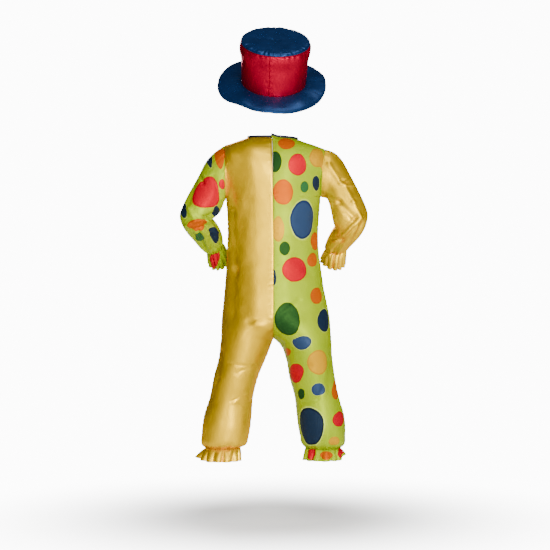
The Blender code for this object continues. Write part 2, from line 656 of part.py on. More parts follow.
def add_object(name, points, faces, finish, collection, matrix=None):
    """Makes one smooth-shaded object of the points, in metres, with its own material."""
    mesh = bpy.data.meshes.new(name)
    mesh.from_pydata([Vector(point) * MM for point in points], [], faces)
    mesh.shade_smooth()
    mesh.set_sharp_from_angle(angle=math.radians(SHARP_ANGLE))
    colour, roughness, metallic = finish
    material = bpy.data.materials.new(name)
    material.use_nodes = True
    shader = material.node_tree.nodes["Principled BSDF"]
    shader.inputs["Base Color"].default_value = (*colour, 1)
    shader.inputs["Roughness"].default_value = roughness
    shader.inputs["Metallic"].default_value = metallic
    mesh.materials.append(material)
    piece = bpy.data.objects.new(name, mesh)
    if matrix is not None:
        piece.matrix_world = matrix
    collection.objects.link(piece)
    return piece


def add_wall(name, outer, inner, wraps, flip, finish, collection, matrix=None):
    """Makes a cloth wall between its outer and inner points, closed round its edges."""
    rows, columns = outer.shape[:2]
    count = rows * columns
    points = np.concatenate([outer.reshape(-1, 3), inner.reshape(-1, 3)])
    faces = grid_faces(rows, columns, 0, wraps, flip)
    faces += grid_faces(rows, columns, count, wraps, not flip)
    border = []
    if wraps:
        last = count - columns
        border += [(k, (k + 1) % columns) for k in range(columns)]
        border += [(last + (k + 1) % columns, last + k) for k in range(columns)]
    else:
        rim = [k for k in range(columns)]
        rim += [i * columns + columns - 1 for i in range(1, rows)]
        rim += [count - 1 - k for k in range(1, columns)]
        rim += [(rows - 1 - i) * columns for i in range(1, rows - 1)]
        border += list(zip(rim, rim[1:] + rim[:1]))
    for a, b in border:
        quad = (b, a, a + count, b + count)
        faces.append(quad[::-1] if flip else quad)
    return add_object(name, points, faces, finish, collection, matrix)


def add_loft(name, rings, closed_path, finish, collection, matrix=None):
    """Makes a solid through rings of points; an open one gets a flat cap at each end."""
    rows, columns = rings.shape[:2]
    faces = grid_faces(rows, columns, 0, True, False)
    last = (rows - 1) * columns
    if closed_path:
        faces += [(last + k, last + (k + 1) % columns, (k + 1) % columns, k)
                  for k in range(columns)]
    else:
        faces.append(tuple(range(columns))[::-1])
        faces.append(tuple(range(last, last + columns)))
    return add_object(name, rings.reshape(-1, 3), faces, finish, collection, matrix)


def build_jumpsuit(collection):
    """Body panels, sleeves, frills, neck binding and the tape behind the slit."""
    for side in (LEFT, RIGHT):
        for face in (BACK, FRONT):
            outer, inner = body_panel(side, face)
            add_wall(f"{face.name}_{side.name}", outer, inner, False,
                     side.sign * face.sign < 0, SIDE_CLOTH[side], collection)
        outer, inner = sleeve(side)
        add_wall(f"{side.name}_sleeve", outer, inner, True, side.sign > 0,
                 SLEEVE_CLOTH[side], collection)
        outer, inner = frill(side, SLEEVES[side][-1], CUFF_HEMS[side], False)
        add_wall(f"{side.name}_cuff_frill", outer, inner, True, side.sign > 0,
                 SLEEVE_CLOTH[side], collection)
        outer, inner = frill(side, ankle_ring(side), ANKLE_HEMS[side], True)
        add_wall(f"{side.name}_ankle_frill", outer, inner, True, side.sign > 0,
                 SIDE_CLOTH[side], collection)
    add_loft("neck_binding", neck_binding(), False, NAVY_BINDING, collection)
    add_loft("closure_tape", closure_tape(), False, PALE_TAPE, collection)


def build_hat(collection):
    """Crown wall, padded crown top and padded brim of the top hat."""
    matrix = hat_matrix()
    outer, inner = hat_crown_side()
    add_wall("hat_crown_side", outer, inner, True, True, RED_SATIN, collection, matrix)
    add_loft("hat_crown_top", hat_crown_top(), False, BLUE_SATIN, collection, matrix)
    add_loft("hat_brim", hat_brim(), True, BLUE_SATIN, collection, matrix)


def main():
    for old in list(bpy.data.objects):
        bpy.data.objects.remove(old, do_unlink=True)
    collection = bpy.data.collections.new("clown_costume")
    bpy.context.scene.collection.children.link(collection)
    build_jumpsuit(collection)
    build_hat(collection)


main()
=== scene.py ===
"""Dresses the clown costume: a half-and-half satin jumpsuit and its padded top hat.

Every cut-and-sewn piece of the frame gets a finer shell on the same form, with its
folds, gathers, seams and printed spots. Tables are in millimetres: drop is measured
down from the neck, and x, inner and outer are measured out from the middle of the
body. Meshes are in metres, +Z up, with the front facing -Y.
"""

from __future__ import annotations

import logging
import math
from dataclasses import dataclass, field
from enum import Enum
from functools import reduce
from typing import Callable, Optional, Sequence

import bpy
import numpy as np
from mathutils import Matrix, Vector

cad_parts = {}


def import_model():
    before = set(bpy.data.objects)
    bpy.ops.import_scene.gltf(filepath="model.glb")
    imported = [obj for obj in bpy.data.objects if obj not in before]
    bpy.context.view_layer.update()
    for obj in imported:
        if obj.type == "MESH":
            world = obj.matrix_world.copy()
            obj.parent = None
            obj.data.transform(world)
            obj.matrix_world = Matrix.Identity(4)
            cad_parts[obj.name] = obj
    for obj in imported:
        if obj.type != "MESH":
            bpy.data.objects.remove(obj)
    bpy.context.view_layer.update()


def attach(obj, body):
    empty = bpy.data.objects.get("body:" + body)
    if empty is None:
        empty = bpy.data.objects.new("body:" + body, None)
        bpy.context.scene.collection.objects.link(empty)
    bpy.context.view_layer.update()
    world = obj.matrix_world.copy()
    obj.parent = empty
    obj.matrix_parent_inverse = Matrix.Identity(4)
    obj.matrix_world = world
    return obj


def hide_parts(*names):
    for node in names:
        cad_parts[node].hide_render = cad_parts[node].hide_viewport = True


LOG = logging.getLogger("clown_costume")

# Metres in a millimetre, and the frame's one body
MM = 0.001
BODY = "root"
# Space left at a seam of the solids, the same here, and the thickness of the satin
SEAM = 0.3
CLOSED = 0.02
CLOTH = 1.3
# Strength of the white background
WHITE = 12.0
# Millimetres to a pixel of the photograph, and the pixel of the middle of the neck
PIXEL = 2.46
CENTRE_PIXEL = (273.5, 137.0)

Array = np.ndarray


class Face(Enum):
    """Back or front of the body: its direction along Y and the shape of its neck."""

    BACK = ("back", 1, 42.0, -4.0, 11.0)
    FRONT = ("front", -1, 50.0, -36.0, 7.0)

    def __init__(self, word: str, sign: int, neck_depth: float, neck_z: float,
                 rounding: float) -> None:
        """Keeps the named values of one member."""
        self.word = word
        self.sign = sign
        self.neck_depth = neck_depth
        self.neck_z = neck_z
        self.rounding = rounding


class Side(Enum):
    """Wearer's left or right: its sign along X and its neck, shoulder and armpit."""

    LEFT = ("left", 1, (64.0, -3.0), (121.0, -22.0), (117.0, -155.0), 6.5)
    RIGHT = ("right", -1, (60.0, -7.0), (127.0, -31.0), (116.0, -148.0), -2.8)

    def __init__(self, word: str, sign: int, neck: tuple, tip: tuple, pit: tuple,
                 slit: float) -> None:
        """Keeps the named values of one member."""
        self.word = word
        self.sign = sign
        self.neck = neck
        self.tip = tip
        self.pit = pit
        self.slit = slit


# Heights on the body, and how the cloth turns in at the elastics and at the frills' hems
SEAT_DROP = 425.0
CROTCH_DROP = 496.0
ANKLE_DROP = 765.0
SLIT_DROP = 240.0
ARMHOLE_DEPTH = 46.0
ANKLE_TUCK = 4.2
WRIST_TUCK = 2.6
HEM_LINE = 0.81
HEM_RAISE = 0.12


def chart(kind: Callable, *values: tuple) -> tuple:
    """Rows of a table, each a section or mark of one kind with its values in order."""
    return tuple(kind(*row) for row in values)


@dataclass(frozen=True)
class TorsoRow:
    """Section of the torso: depth behind and before the side seams, half widths."""

    drop: float
    back: float
    front: float
    left: float
    right: float


# drop, back, front, left, right
TORSO = chart(
    TorsoRow,
    (148, 81, 82, 117, 116),
    (199, 80, 84, 113.5, 112),
    (243, 79, 86, 113, 110),
    (287, 80, 88, 115, 112),
    (331, 85, 88, 117, 118),
    (374, 92, 86, 120, 124),
    (407, 96, 84, 123, 131),
    (445, 96, 82, 127, 138),
    (496, 88, 78, 129, 142),
)


@dataclass(frozen=True)
class LegRow:
    """Section of a leg: inseam, side seam, and depth behind and before them."""

    drop: float
    inner: float
    outer: float
    back: float
    front: float


# drop, inner, outer, back, front
LEGS = {
    Side.LEFT: chart(
        LegRow,
        (496, 0.2, 129, 88, 78),
        (544, 19, 135, 80, 71),
        (591, 38, 147, 71, 65),
        (638, 50, 156, 64, 59),
        (686, 54, 171, 63, 54),
        (721, 58, 176, 62, 51),
        (746, 64, 177, 58, 48),
        (757, 69, 175.5, 53, 44),
        (765, 78, 172, 45, 39),
    ),
    Side.RIGHT: chart(
        LegRow,
        (496, 0.2, 142, 88, 78),
        (504, 10, 142.5, 87, 77),
        (514, 18.5, 143, 85.5, 75.5),
        (544, 30, 145, 80, 71),
        (591, 39, 151, 71, 65),
        (640, 52, 161, 64, 59),
        (686, 57, 174, 63, 54),
        (721, 62, 177, 62, 51),
        (746, 68, 175, 56, 47),
        (757, 72, 172, 51, 43),
        (765, 76, 168, 45, 39),
    ),
}


@dataclass(frozen=True)
class Ring:
    """Ring of a tube: its outermost and innermost points, its place and half depth."""

    out_x: float
    out_drop: float
    in_x: float
    in_drop: float
    y: float
    deep: float


# out_x, out_drop, in_x, in_drop, y, deep
SLEEVES = {
    Side.LEFT: chart(
        Ring,
        (121, 22, 117, 155, 0, 46),
        (146, 40, 121, 160, 2, 46),
        (166, 62, 124, 168, 5, 44),
        (182, 93, 128, 177, 9, 42),
        (197, 122, 132, 187, 14, 41),
        (212, 150, 139, 195, 18, 41),
        (225, 177, 146, 201, 20, 42),
        (230, 195, 150, 205, 18, 42),
        (225, 214, 147, 210, 11, 41),
        (214, 233, 139, 216, 0, 38),
        (200, 250, 133, 226, -13, 35),
        (184, 269, 128, 241, -28, 31),
        (164, 288, 125, 258, -43, 25),
    ),
    Side.RIGHT: chart(
        Ring,
        (127, 31, 116, 148, 0, 46),
        (150, 40, 124, 150, 2, 46),
        (168, 58, 132, 154, 5, 44),
        (183, 84, 137, 165, 9, 42),
        (197, 111, 140, 179, 14, 41),
        (210, 137, 143, 195, 18, 41),
        (222, 163, 146, 211, 20, 42),
        (230, 188, 150, 223, 18, 42),
        (227, 207, 149, 230, 12, 41),
        (219, 226, 143, 239, 3, 38),
        (208, 243, 136, 249, -8, 35),
        (196, 258, 129, 262, -19, 31),
        (181, 274, 126, 277, -30, 26),
    ),
}


@dataclass(frozen=True)
class Hem(Ring):
    """Hem ring of a frill, and how much its outer edge flares out and up."""

    flare: float = 0.0
    lift: float = 0.0


CUFF_HEMS = {
    Side.LEFT: Hem(out_x=158, out_drop=319, in_x=112, in_drop=296, y=-70, deep=34),
    Side.RIGHT: Hem(out_x=176, out_drop=311, in_x=119, in_drop=302, y=-52, deep=35),
}
ANKLE_HEMS = {
    Side.LEFT: Hem(out_x=178, out_drop=795, in_x=82, in_drop=795, y=4, deep=49,
                   flare=11, lift=9),
    Side.RIGHT: Hem(out_x=168, out_drop=793, in_x=74, in_drop=793, y=4, deep=49,
                    flare=8, lift=12),
}


@dataclass(frozen=True)
class Fold:
    """Soft fold of a panel from one point to another, as seen from its own side.

    Attributes:
        x0: Start, out from the middle of the body.
        drop0: Start, down from the neck.
        x1: End, out from the middle.
        drop1: End, down from the neck.
        height: How far it stands out, or in where that is negative.
        width: Its half width.
        bow: How far its middle bends to one side.
    """

    x0: float
    drop0: float
    x1: float
    drop1: float
    height: float
    width: float
    bow: float = 0.0

    def push(self, place: Array) -> Array:
        """How far it moves each place, given as x and drop, along its normal."""
        start = np.array((self.x0, self.drop0))
        line = np.array((self.x1, self.drop1)) - start
        length = math.hypot(*line)
        line = line / length
        run = (place - start) @ line
        beside = (place - start) @ np.array((-line[1], line[0]))
        t = np.clip(run / length, 0, 1)
        past = run - t * length
        distance = np.hypot(beside - 4 * self.bow * t * (1 - t), past)
        return self.height * np.exp(-(distance / self.width) ** 2)


# x0, drop0, x1, drop1, height, width, bow
FOLDS = {
    (Side.LEFT, Face.BACK): chart(
        Fold,
        (102, 190, 96, 330, -5.0, 10),
        (96, 330, 100, 440, -4.5, 12),
        (46, 330, 42, 430, 2.2, 20),
        (10, 469, 41, 458, 3.0, 9),
        (22, 440, 60, 452, -2.0, 8),
        (88, 557, 45, 560, -1.2, 2.8),
        (108, 553, 88, 556, -0.9, 3),
        (90, 578, 44, 564, -1.2, 3.5, 4),
        (82, 592, 82, 612, 2.4, 20),
        (103, 646, 73, 635, -1.2, 3),
        (96, 650, 62, 629, 1.3, 3.4, 2),
        (81, 653, 57, 648, -1.4, 3.4, -3),
        (128, 525, 136, 592, -3.6, 4.5),
        (136, 592, 158, 670, -2.2, 5),
        (60, 160, 92, 260, -1.6, 14),
    ),
    (Side.RIGHT, Face.BACK): chart(
        Fold,
        (141, 530, 135, 618, -3.4, 8),
        (60, 300, 88, 330, -2.4, 14),
        (5, 492, 22, 508, -2.4, 4, -2),
        (22, 508, 35, 556, -2.2, 5),
        (88, 560, 52, 580, -2.4, 8),
        (104, 640, 72, 652, -2.4, 7),
        (12, 440, 62, 400, -1.8, 6),
        (120, 612, 108, 640, -1.6, 5),
        (3, 8, 4, 44, -1.2, 2.2),
        (10, 12, 7, 40, 1.0, 2.4),
        (104, 200, 100, 300, -2.6, 10),
    ),
    (Side.LEFT, Face.FRONT): chart(
        Fold,
        (96, 200, 98, 330, -4.0, 14),
        (30, 470, 84, 430, -4.0, 11),
        (120, 620, 76, 634, -4.0, 10),
        (80, 530, 88, 590, 4.0, 16),
        (44, 492, 96, 474, -2.2, 6),
        (104, 596, 72, 604, -2.0, 6),
    ),
    (Side.RIGHT, Face.FRONT): chart(
        Fold,
        (92, 210, 96, 340, -4.0, 14),
        (34, 474, 90, 440, -4.0, 11),
        (126, 616, 80, 630, -4.0, 10),
        (86, 530, 94, 590, 4.0, 16),
        (48, 496, 104, 484, -2.2, 6),
        (112, 654, 84, 664, -2.0, 6),
    ),
}


def fold(start: tuple, end: tuple, height: float, width: float, bow: float = 0.0) -> Fold:
    """Fold between two pixels of the photograph, on whichever side they lie."""
    ends = [(abs(CENTRE_PIXEL[0] - x) * PIXEL, (y - CENTRE_PIXEL[1]) * PIXEL)
            for x, y in (start, end)]
    return Fold(*ends[0], *ends[1], height, width, bow)


# start pixel, end pixel, height, width, bow
SLEEVE_FOLDS = {
    (Side.LEFT, Face.BACK): chart(
        fold,
        ((199.3, 175), (204, 184), -3.0, 4),
        ((206, 219), (216, 215), -4.5, 6),
        ((211, 218), (221, 229), -3.2, 3.5),
        ((208.5, 221.5), (218, 233), 2.6, 3.5),
        ((206.5, 224.5), (214.5, 237), -2.8, 3.5),
        ((187, 227), (204, 220.5), 2.8, 4.5, 3),
        ((190, 231.5), (207, 227), -2.8, 4.5),
        ((193, 235.5), (207.4, 253.4), -3.4, 6),
        ((203.6, 231.4), (208.4, 248), 2.4, 3.5),
        ((199.5, 232), (205, 249), -2.4, 3.5),
        ((211, 236), (213, 250), -2.0, 3.0),
        ((190, 210), (196, 221), 2.4, 6),
        ((214, 178), (221, 196), -1.6, 7),
        ((196, 180), (189, 205), -2.2, 6),
    ),
    (Side.LEFT, Face.FRONT): chart(
        fold,
        ((201, 178), (210, 186), -2.6, 5),
        ((190, 214), (208, 212), -3.2, 6, -4),
        ((207, 222), (196, 232), 2.6, 5),
        ((212, 224), (204, 238), -2.6, 4),
        ((215, 230), (211, 247), 2.2, 4),
    ),
    (Side.RIGHT, Face.BACK): chart(
        fold,
        ((328, 165.8), (339.7, 184.2), 3.4, 6),
        ((343.6, 187), (352.3, 203.6), 3.2, 6),
        ((352.3, 203.6), (359, 217), 3.0, 6),
        ((339.7, 186.2), (355.2, 187), 1.8, 2.6),
        ((340, 182), (355, 182.5), -2.0, 3.6),
        ((352.3, 176.5), (344.5, 184), -2.2, 3.5),
        ((324.2, 196.8), (337.8, 203.6), -3.4, 7),
        ((337.8, 203.6), (353, 219), -5.0, 8),
        ((331, 206), (334, 226), 2.6, 6),
        ((359.5, 219.5), (343.6, 236), 3.6, 5),
        ((356, 217.5), (341, 233), -2.8, 4),
        ((361.5, 224), (350.3, 248), -4.4, 4.5),
        ((356.5, 227), (338, 252), 2.6, 3.4),
        ((352.5, 228.5), (333, 250), -2.6, 3.4),
        ((348, 230), (329, 247), 2.2, 3.6),
        ((330, 240), (341, 241), -4.0, 5, -3),
    ),
    (Side.RIGHT, Face.FRONT): chart(
        fold,
        ((334, 170), (346, 190), 2.8, 7),
        ((338, 204), (356, 214), -4.0, 8),
        ((356, 220), (342, 236), 3.0, 6),
        ((352, 230), (336, 250), -2.8, 5),
        ((330, 206), (336, 228), 2.4, 6),
    ),
}


class Ink(Enum):
    """Colours of the printed spots: the fill and its darker rim, in linear light."""

    ORANGE = ((0.44, 0.074, 0.0), (0.38, 0.052, 0.0))
    RED = ((0.42, 0.0, 0.012), (0.32, 0.0, 0.007))
    BLUE = ((0.018, 0.038, 0.09), (0.007, 0.018, 0.062))
    NAVY = ((0.008, 0.018, 0.040), (0.003, 0.008, 0.022))
    GREEN = ((0.009, 0.044, 0.01), (0.007, 0.034, 0.006))
    TEAL = ((0.02, 0.095, 0.028), (0.011, 0.062, 0.016))
    AMBER = ((0.48, 0.235, 0.0), (0.4, 0.17, 0.0))

    def __init__(self, fill: tuple, rim: tuple) -> None:
        """Keeps the named values of one member."""
        self.fill = fill
        self.rim = rim


@dataclass(frozen=True)
class Spot:
    """Printed spot as it shows, with its half sizes; sign is 1 behind, -1 in front."""

    x: float
    drop: float
    wide: float
    high: float
    ink: Ink
    turn: float
    sign: int


def seen(sign: int, charted: dict) -> tuple:
    """Spots placed by their pixels in the photograph.

    Args:
        sign: 1 for the side that faces back, -1 for the front.
        charted: Rows of spots under their ink: pixel column, pixel row, half width and
            half height in pixels, and the turn in degrees where there is one.

    Returns:
        The spots in the costume's own millimetres.
    """
    return tuple(Spot((CENTRE_PIXEL[0] - px) * PIXEL, (py - CENTRE_PIXEL[1]) * PIXEL,
                      wide * PIXEL, high * PIXEL, ink, sum(turn), sign)
                 for ink, spots in charted.items() for px, py, wide, high, *turn in spots)


def curve(knots: Sequence[float], values: Sequence[float], at: Array) -> Array:
    """Reads a table on the cubic curve through its values.

    Args:
        knots: Rising places of the values.
        values: The values themselves.
        at: Places to read.

    Returns:
        The curve's values at those places.
    """
    knots = np.asarray(knots, dtype=float)
    values = np.asarray(values, dtype=float)
    at = np.asarray(at, dtype=float)
    slopes = np.gradient(values, knots)
    i = np.clip(np.searchsorted(knots, at) - 1, 0, len(knots) - 2)
    span = knots[i + 1] - knots[i]
    t = (at - knots[i]) / span
    start = (1 + 2 * t) * (1 - t) ** 2 * values[i] + t * (1 - t) ** 2 * span * slopes[i]
    end = t * t * (3 - 2 * t) * values[i + 1] + t * t * (t - 1) * span * slopes[i + 1]
    return start + end


def table(sections: Sequence, column: str, drops: Array) -> Array:
    """Reads one column of a table of sections at some drops."""
    return curve([row.drop for row in sections], [getattr(row, column) for row in sections],
                 drops)


def blend(share: Array, first: Array, second: Array) -> Array:
    """Mixes two values: the first at a share of 0, the second at 1."""
    return first + (second - first) * share


def ramp(values: Array, low: float, high: float) -> Array:
    """Eases from 0 at the low value to 1 at the high one."""
    t = np.clip((values - low) / (high - low), 0.0, 1.0)
    return t * t * (3 - 2 * t)


def normals_of(grid: Array, wraps: bool) -> Array:
    """Unit normals of a grid of points, across a row first and then down a column."""
    if wraps:
        across = np.roll(grid, -1, axis=1) - np.roll(grid, 1, axis=1)
    else:
        across = np.gradient(grid, axis=1)
    normals = np.cross(across, np.gradient(grid, axis=0))
    length = np.linalg.norm(normals, axis=2, keepdims=True)
    return normals / np.maximum(length, 1e-9)


def arc_along(grid: Array, axis: int) -> Array:
    """Length run along each row or column of a grid, from its first point."""
    steps = np.linalg.norm(np.diff(grid, axis=axis), axis=2)
    first = np.zeros_like(np.take(steps, [0], axis=axis))
    return np.cumsum(np.concatenate([first, steps], axis=axis), axis=axis)


@dataclass(frozen=True)
class Gathers:
    """Uneven small gathers round a ring, made of seeded waves.

    Attributes:
        seed: Start of the random choice.
        lowest: Fewest waves round the whole ring.
        highest: Most waves round it.
    """

    seed: int
    lowest: int
    highest: int

    def around(self, angles: Array) -> Array:
        """Height of the gathers, about -1 to 1, at angles round the ring."""
        rng = np.random.default_rng(self.seed)
        total = np.zeros_like(angles)
        counts = np.arange(self.lowest, self.highest + 1)
        for count in counts:
            total = total + rng.uniform(0.4, 1.0) * np.cos(count * angles
                                                           + rng.uniform(0, 2 * math.pi))
        return total / math.sqrt(len(counts)) / 0.9


def elastic_gathers(side: Side, ankle: bool, angles: Array) -> tuple[Array, Array]:
    """Fine and broad gathers that run across the elastic of an ankle or of a wrist."""
    fine, broad = ((31, 19, 33), (47, 7, 14)) if ankle else ((61, 11, 24), (73, 5, 9))
    return tuple(Gathers(seed + side.sign, lowest, highest).around(angles)
                 for seed, lowest, highest in (fine, broad))


@dataclass(frozen=True)
class Ripples:
    """Broad, uneven ripples of the cloth: seeded waves over a piece.

    Attributes:
        seed: Start of the random choice.
        length: Shortest wave, in millimetres.
        count: How many waves are summed.
        upright: How much longer the waves are down the cloth than across it.
    """

    seed: int
    length: float
    count: int = 14
    upright: float = 2.2

    def over(self, u: Array, v: Array) -> Array:
        """Height of the ripples, about -1 to 1, at places on the cloth."""
        rng = np.random.default_rng(self.seed)
        total = np.zeros(np.broadcast(u, v).shape)
        for _ in range(self.count):
            turn = rng.uniform(0, 2 * math.pi)
            size = self.length * rng.uniform(1.0, 2.4)
            phase = rng.uniform(0, 2 * math.pi)
            bend = rng.uniform(0.2, 0.8) * np.sin(v / (size * 1.7) + phase)
            total += np.sin(2 * math.pi * (u * math.cos(turn) + v * math.sin(turn)
                                           / self.upright) / size + phase + bend)
        return total / math.sqrt(self.count)


@dataclass(frozen=True)
class Shell:
    """Outer points of one piece of cloth, ready for its mesh.

    Attributes:
        outer: Points of the outer face, row by row, in millimetres.
        outward: Unit direction out of the cloth at each point.
        uv: Place of each point on the flat cloth, in millimetres.
        wraps: Whether the rows close into rings.
    """

    outer: Array
    outward: Array
    uv: Array
    wraps: bool = False


def leaned(drops: Array, outer: Array) -> Array:
    """Middle of each section: below the seat it leans out until the legs part."""
    lean = np.clip((drops - SEAT_DROP) / (CROTCH_DROP - SEAT_DROP), 0, 1)
    lean = lean * lean * (2 - lean)
    return lean * outer / (1 + lean)


@dataclass(frozen=True)
class BodyPanel:
    """One half of the back or the front: body and leg in one piece of cloth.

    Attributes:
        side: Wearer's side that it lies on.
        face: Back or front.
        opened: Share of the solids' slit that stands open.
        folded: How far the upper corner of the right back is folded over.
        easing_passes: How often the bend below the neck point is smoothed.
    """

    side: Side
    face: Face
    upper_rows: int = 62
    torso_rows: int = 128
    leg_rows: int = 104
    seam_columns: tuple = (0.0, 0.004, 0.009, 0.016, 0.025, 0.036, 0.048)
    middle_columns: int = 68
    opened: float = 0.6
    folded: tuple = (-4.0, 3.0, 5.0)
    easing_passes: int = 120

    def columns(self) -> Array:
        """Places of the columns, from the centre seam at 0 to the side seam at 1."""
        edge = np.array(self.seam_columns)
        middle = np.linspace(edge[-1], 1 - edge[-1], self.middle_columns)
        return np.concatenate([edge[:-1], middle, 1 - edge[:-1][::-1]])

    def centre_edge(self, drops: Array) -> Array:
        """Distance of the centre edge from the middle, wider along the back slit."""
        above = np.maximum(0.0, 1 - drops / SLIT_DROP) * (self.face is Face.BACK)
        return CLOSED + self.opened * self.side.slit * above

    def sections(self, drops: Array, inner: Array, outer: Array, depth: Array) -> Array:
        """Half ellipses from the centre seam or inseam out to the side seam."""
        middle = (outer + inner) / 2
        reach = (outer - inner) / 2
        edge = np.maximum(inner, self.centre_edge(drops))
        first = np.arccos(np.clip((edge - middle) / reach, -1.0, 1.0))
        angle = first[:, None] * (1 - self.columns()[None, :])
        x = middle[:, None] + reach[:, None] * np.cos(angle)
        y = depth[:, None] * np.sin(angle)
        z = np.repeat(-drops[:, None], x.shape[1], axis=1)
        x[:, 0] = edge
        return np.stack([x, y, z], axis=2)

    def torso(self, drops: Array) -> Array:
        """Sections of the torso; below the seat they lean out until the legs part."""
        outer = table(TORSO, self.side.word, drops)
        depth = table(TORSO, self.face.word, drops)
        return self.sections(drops, 2 * leaned(drops, outer) - outer, outer, depth)

    def leg(self, drops: Array) -> Array:
        """Sections of half a leg."""
        inner, outer, depth = (table(LEGS[self.side], column, drops)
                               for column in ("inner", "outer", self.face.word))
        return self.sections(drops, np.maximum(SEAM / 2, inner), outer, depth)

    def top_edge(self, columns: Array) -> Array:
        """Neckline from the centre to the neck point, then the shoulder seam."""
        neck_x, neck_z = self.side.neck
        tip_x, tip_z = self.side.tip
        start = float(self.centre_edge(np.array(0.0)))
        angle = math.pi / 2 * np.minimum(1.0, 2 * columns)
        along = np.maximum(0.0, 2 * columns - 1)
        across = np.sin(angle)
        height = neck_z * across ** 2 + self.face.neck_z * np.cos(angle) ** 2
        x = start + (neck_x - start) * across + (tip_x - neck_x) * along
        z = height + (tip_z - neck_z) * along
        return np.stack([x, self.face.neck_depth * np.cos(angle), z], axis=1)

    def upper(self) -> Array:
        """Rows from the neckline and shoulder down to the armpit."""
        u = self.columns()
        top = self.top_edge(u)
        bottom = self.torso(np.array([-self.side.pit[1]]))[0]
        angle = np.linspace(0, math.pi, self.upper_rows)[:, None]
        fallen = (1 - np.cos(angle)) / 2
        ridge = np.minimum(1.0, 2 * u)
        bulge = self.face.rounding + (ARMHOLE_DEPTH - self.face.rounding) * u
        spread = blend(ridge, fallen * (2 - fallen), np.sqrt(fallen) * (3 - fallen) / 2)
        swell = blend(ridge, 6.75 * fallen, 3.5 * np.sqrt(fallen)) * (1 - fallen) ** 2
        swell = bulge * blend(u ** 8, swell, np.sin(angle))
        x = blend((1 - fallen) ** (1 + 2 * u), bottom[:, 0], top[:, 0])
        y = blend(spread, top[:, 1], bottom[:, 1]) + swell
        z = blend(fallen, top[:, 2], bottom[:, 2])
        rows = np.stack([x, y, z], axis=2)
        rows[:, 0, 0] = self.centre_edge(-rows[:, 0, 2])
        return self.eased(rows)

    def eased(self, rows: Array) -> Array:
        """Smooths the bend that would run down from the neck point."""
        below = np.minimum(1.0, np.arange(len(rows)) / 6)
        near = np.exp(-((self.columns() - 0.5) / 0.16) ** 2)
        share = 0.5 * below[:, None, None] * near[None, 1:-1, None]
        for _ in range(self.easing_passes):
            between = (rows[:, :-2] + rows[:, 2:]) / 2
            rows[:, 1:-1] += share * (between - rows[:, 1:-1])
        return rows

    def base(self) -> Array:
        """Points of the panel before its folds, from the neck down to the ankle."""
        pit_drop = -self.side.pit[1]
        torso = np.linspace(pit_drop, CROTCH_DROP, self.torso_rows + 1)[1:]
        leg = np.linspace(CROTCH_DROP, ANKLE_DROP, self.leg_rows + 1)[1:]
        return np.concatenate([self.upper(), self.torso(torso), self.leg(leg)])

    def folds(self, place: Array) -> Array:
        """Push of the folds at places given as x and drop."""
        return sum(mark.push(place) for mark in FOLDS[self.side, self.face])

    def shell(self) -> Shell:
        """Works out the panel with its folds, gathers and rolled seams."""
        grid = self.base()
        pit_row = self.upper_rows - 1
        crotch_row = pit_row + self.torso_rows
        across = arc_along(grid, 1)
        down = arc_along(grid, 0)
        drops = -grid[:, :, 2]
        middle = self.print_middle(grid)
        uv = np.stack([middle + across - self.at_middle(grid, across, middle),
                       down - down[pit_row] - self.side.pit[1]], axis=2)

        place = grid[:, :, [0, 2]] * np.array((1, -1))
        soft = np.sqrt(np.maximum(0, np.sin(np.pi * self.columns())))
        push = self.folds(place) * soft
        seed = 11 + 3 * self.side.sign + self.face.sign
        push += 0.55 * Ripples(seed, 42).over(uv[:, :, 0], uv[:, :, 1]) * soft
        push += self.ankle_gathers(grid, drops) + self.ankle_tuck(drops)
        push += self.seam_puckers((across, across[:, -1:] - across), uv[:, :, 1], seed)

        if self.side is Side.RIGHT and self.face is Face.BACK:
            corner = np.exp(-(across / 8) ** 2 - (down / 10) ** 2)
            grid += corner[:, :, None] * self.folded
        grid[:, :, 1] += CLOSED
        grid *= (self.side.sign, self.face.sign, 1)
        locked = np.zeros(grid.shape, dtype=bool)
        locked[0, grid.shape[1] // 2:, 1] = True
        locked[:pit_row - 4, -1, 0] = True
        locked[pit_row:, -1, 1] = True
        locked[:crotch_row + 1, 0, 0] = True
        locked[crotch_row:, 0, 1] = True
        locked[-1, :, 2] = True
        facing = self.side.sign * self.face.sign
        outward = self.flattened(normals_of(grid, False) * facing, locked)
        grid = grid + outward * push[:, :, None]
        outward = self.flattened(normals_of(grid, False) * facing, locked)
        return Shell(grid, outward, uv)

    @staticmethod
    def flattened(normals: Array, locked: Array) -> Array:
        """Normals kept within the seams' planes, where a direction is locked."""
        kept = np.where(locked, 0.0, normals)
        return kept / np.maximum(np.linalg.norm(kept, axis=2, keepdims=True), 1e-9)

    def print_middle(self, grid: Array) -> Array:
        """Distance out at which each row of the panel faces straight back or front."""
        drops = -grid[:, -1, 2]
        outer = grid[:, -1, 0]
        middle = np.where(drops > CROTCH_DROP, (grid[:, 0, 0] + outer) / 2,
                          leaned(drops, outer))
        return np.maximum(middle, grid[:, 0, 0])[:, None]

    @staticmethod
    def at_middle(grid: Array, across: Array, middle: Array) -> Array:
        """Length run along each row when it passes its middle."""
        return np.array([[np.interp(m, row[:, 0], run)]
                         for m, row, run in zip(middle[:, 0], grid, across)])

    def ankle_gathers(self, grid: Array, drops: Array) -> Array:
        """Small gathers that the ankle elastic draws the cloth into."""
        angle = np.arccos(np.clip(self.ring_share(grid), -1, 1)) * self.face.sign
        above = np.maximum(0.0, ANKLE_DROP - drops)
        fine, broad = elastic_gathers(self.side, True, angle)
        return 0.9 * fine * np.exp(-above / 6) + 1.4 * broad * np.exp(-(above / 22) ** 1.5)

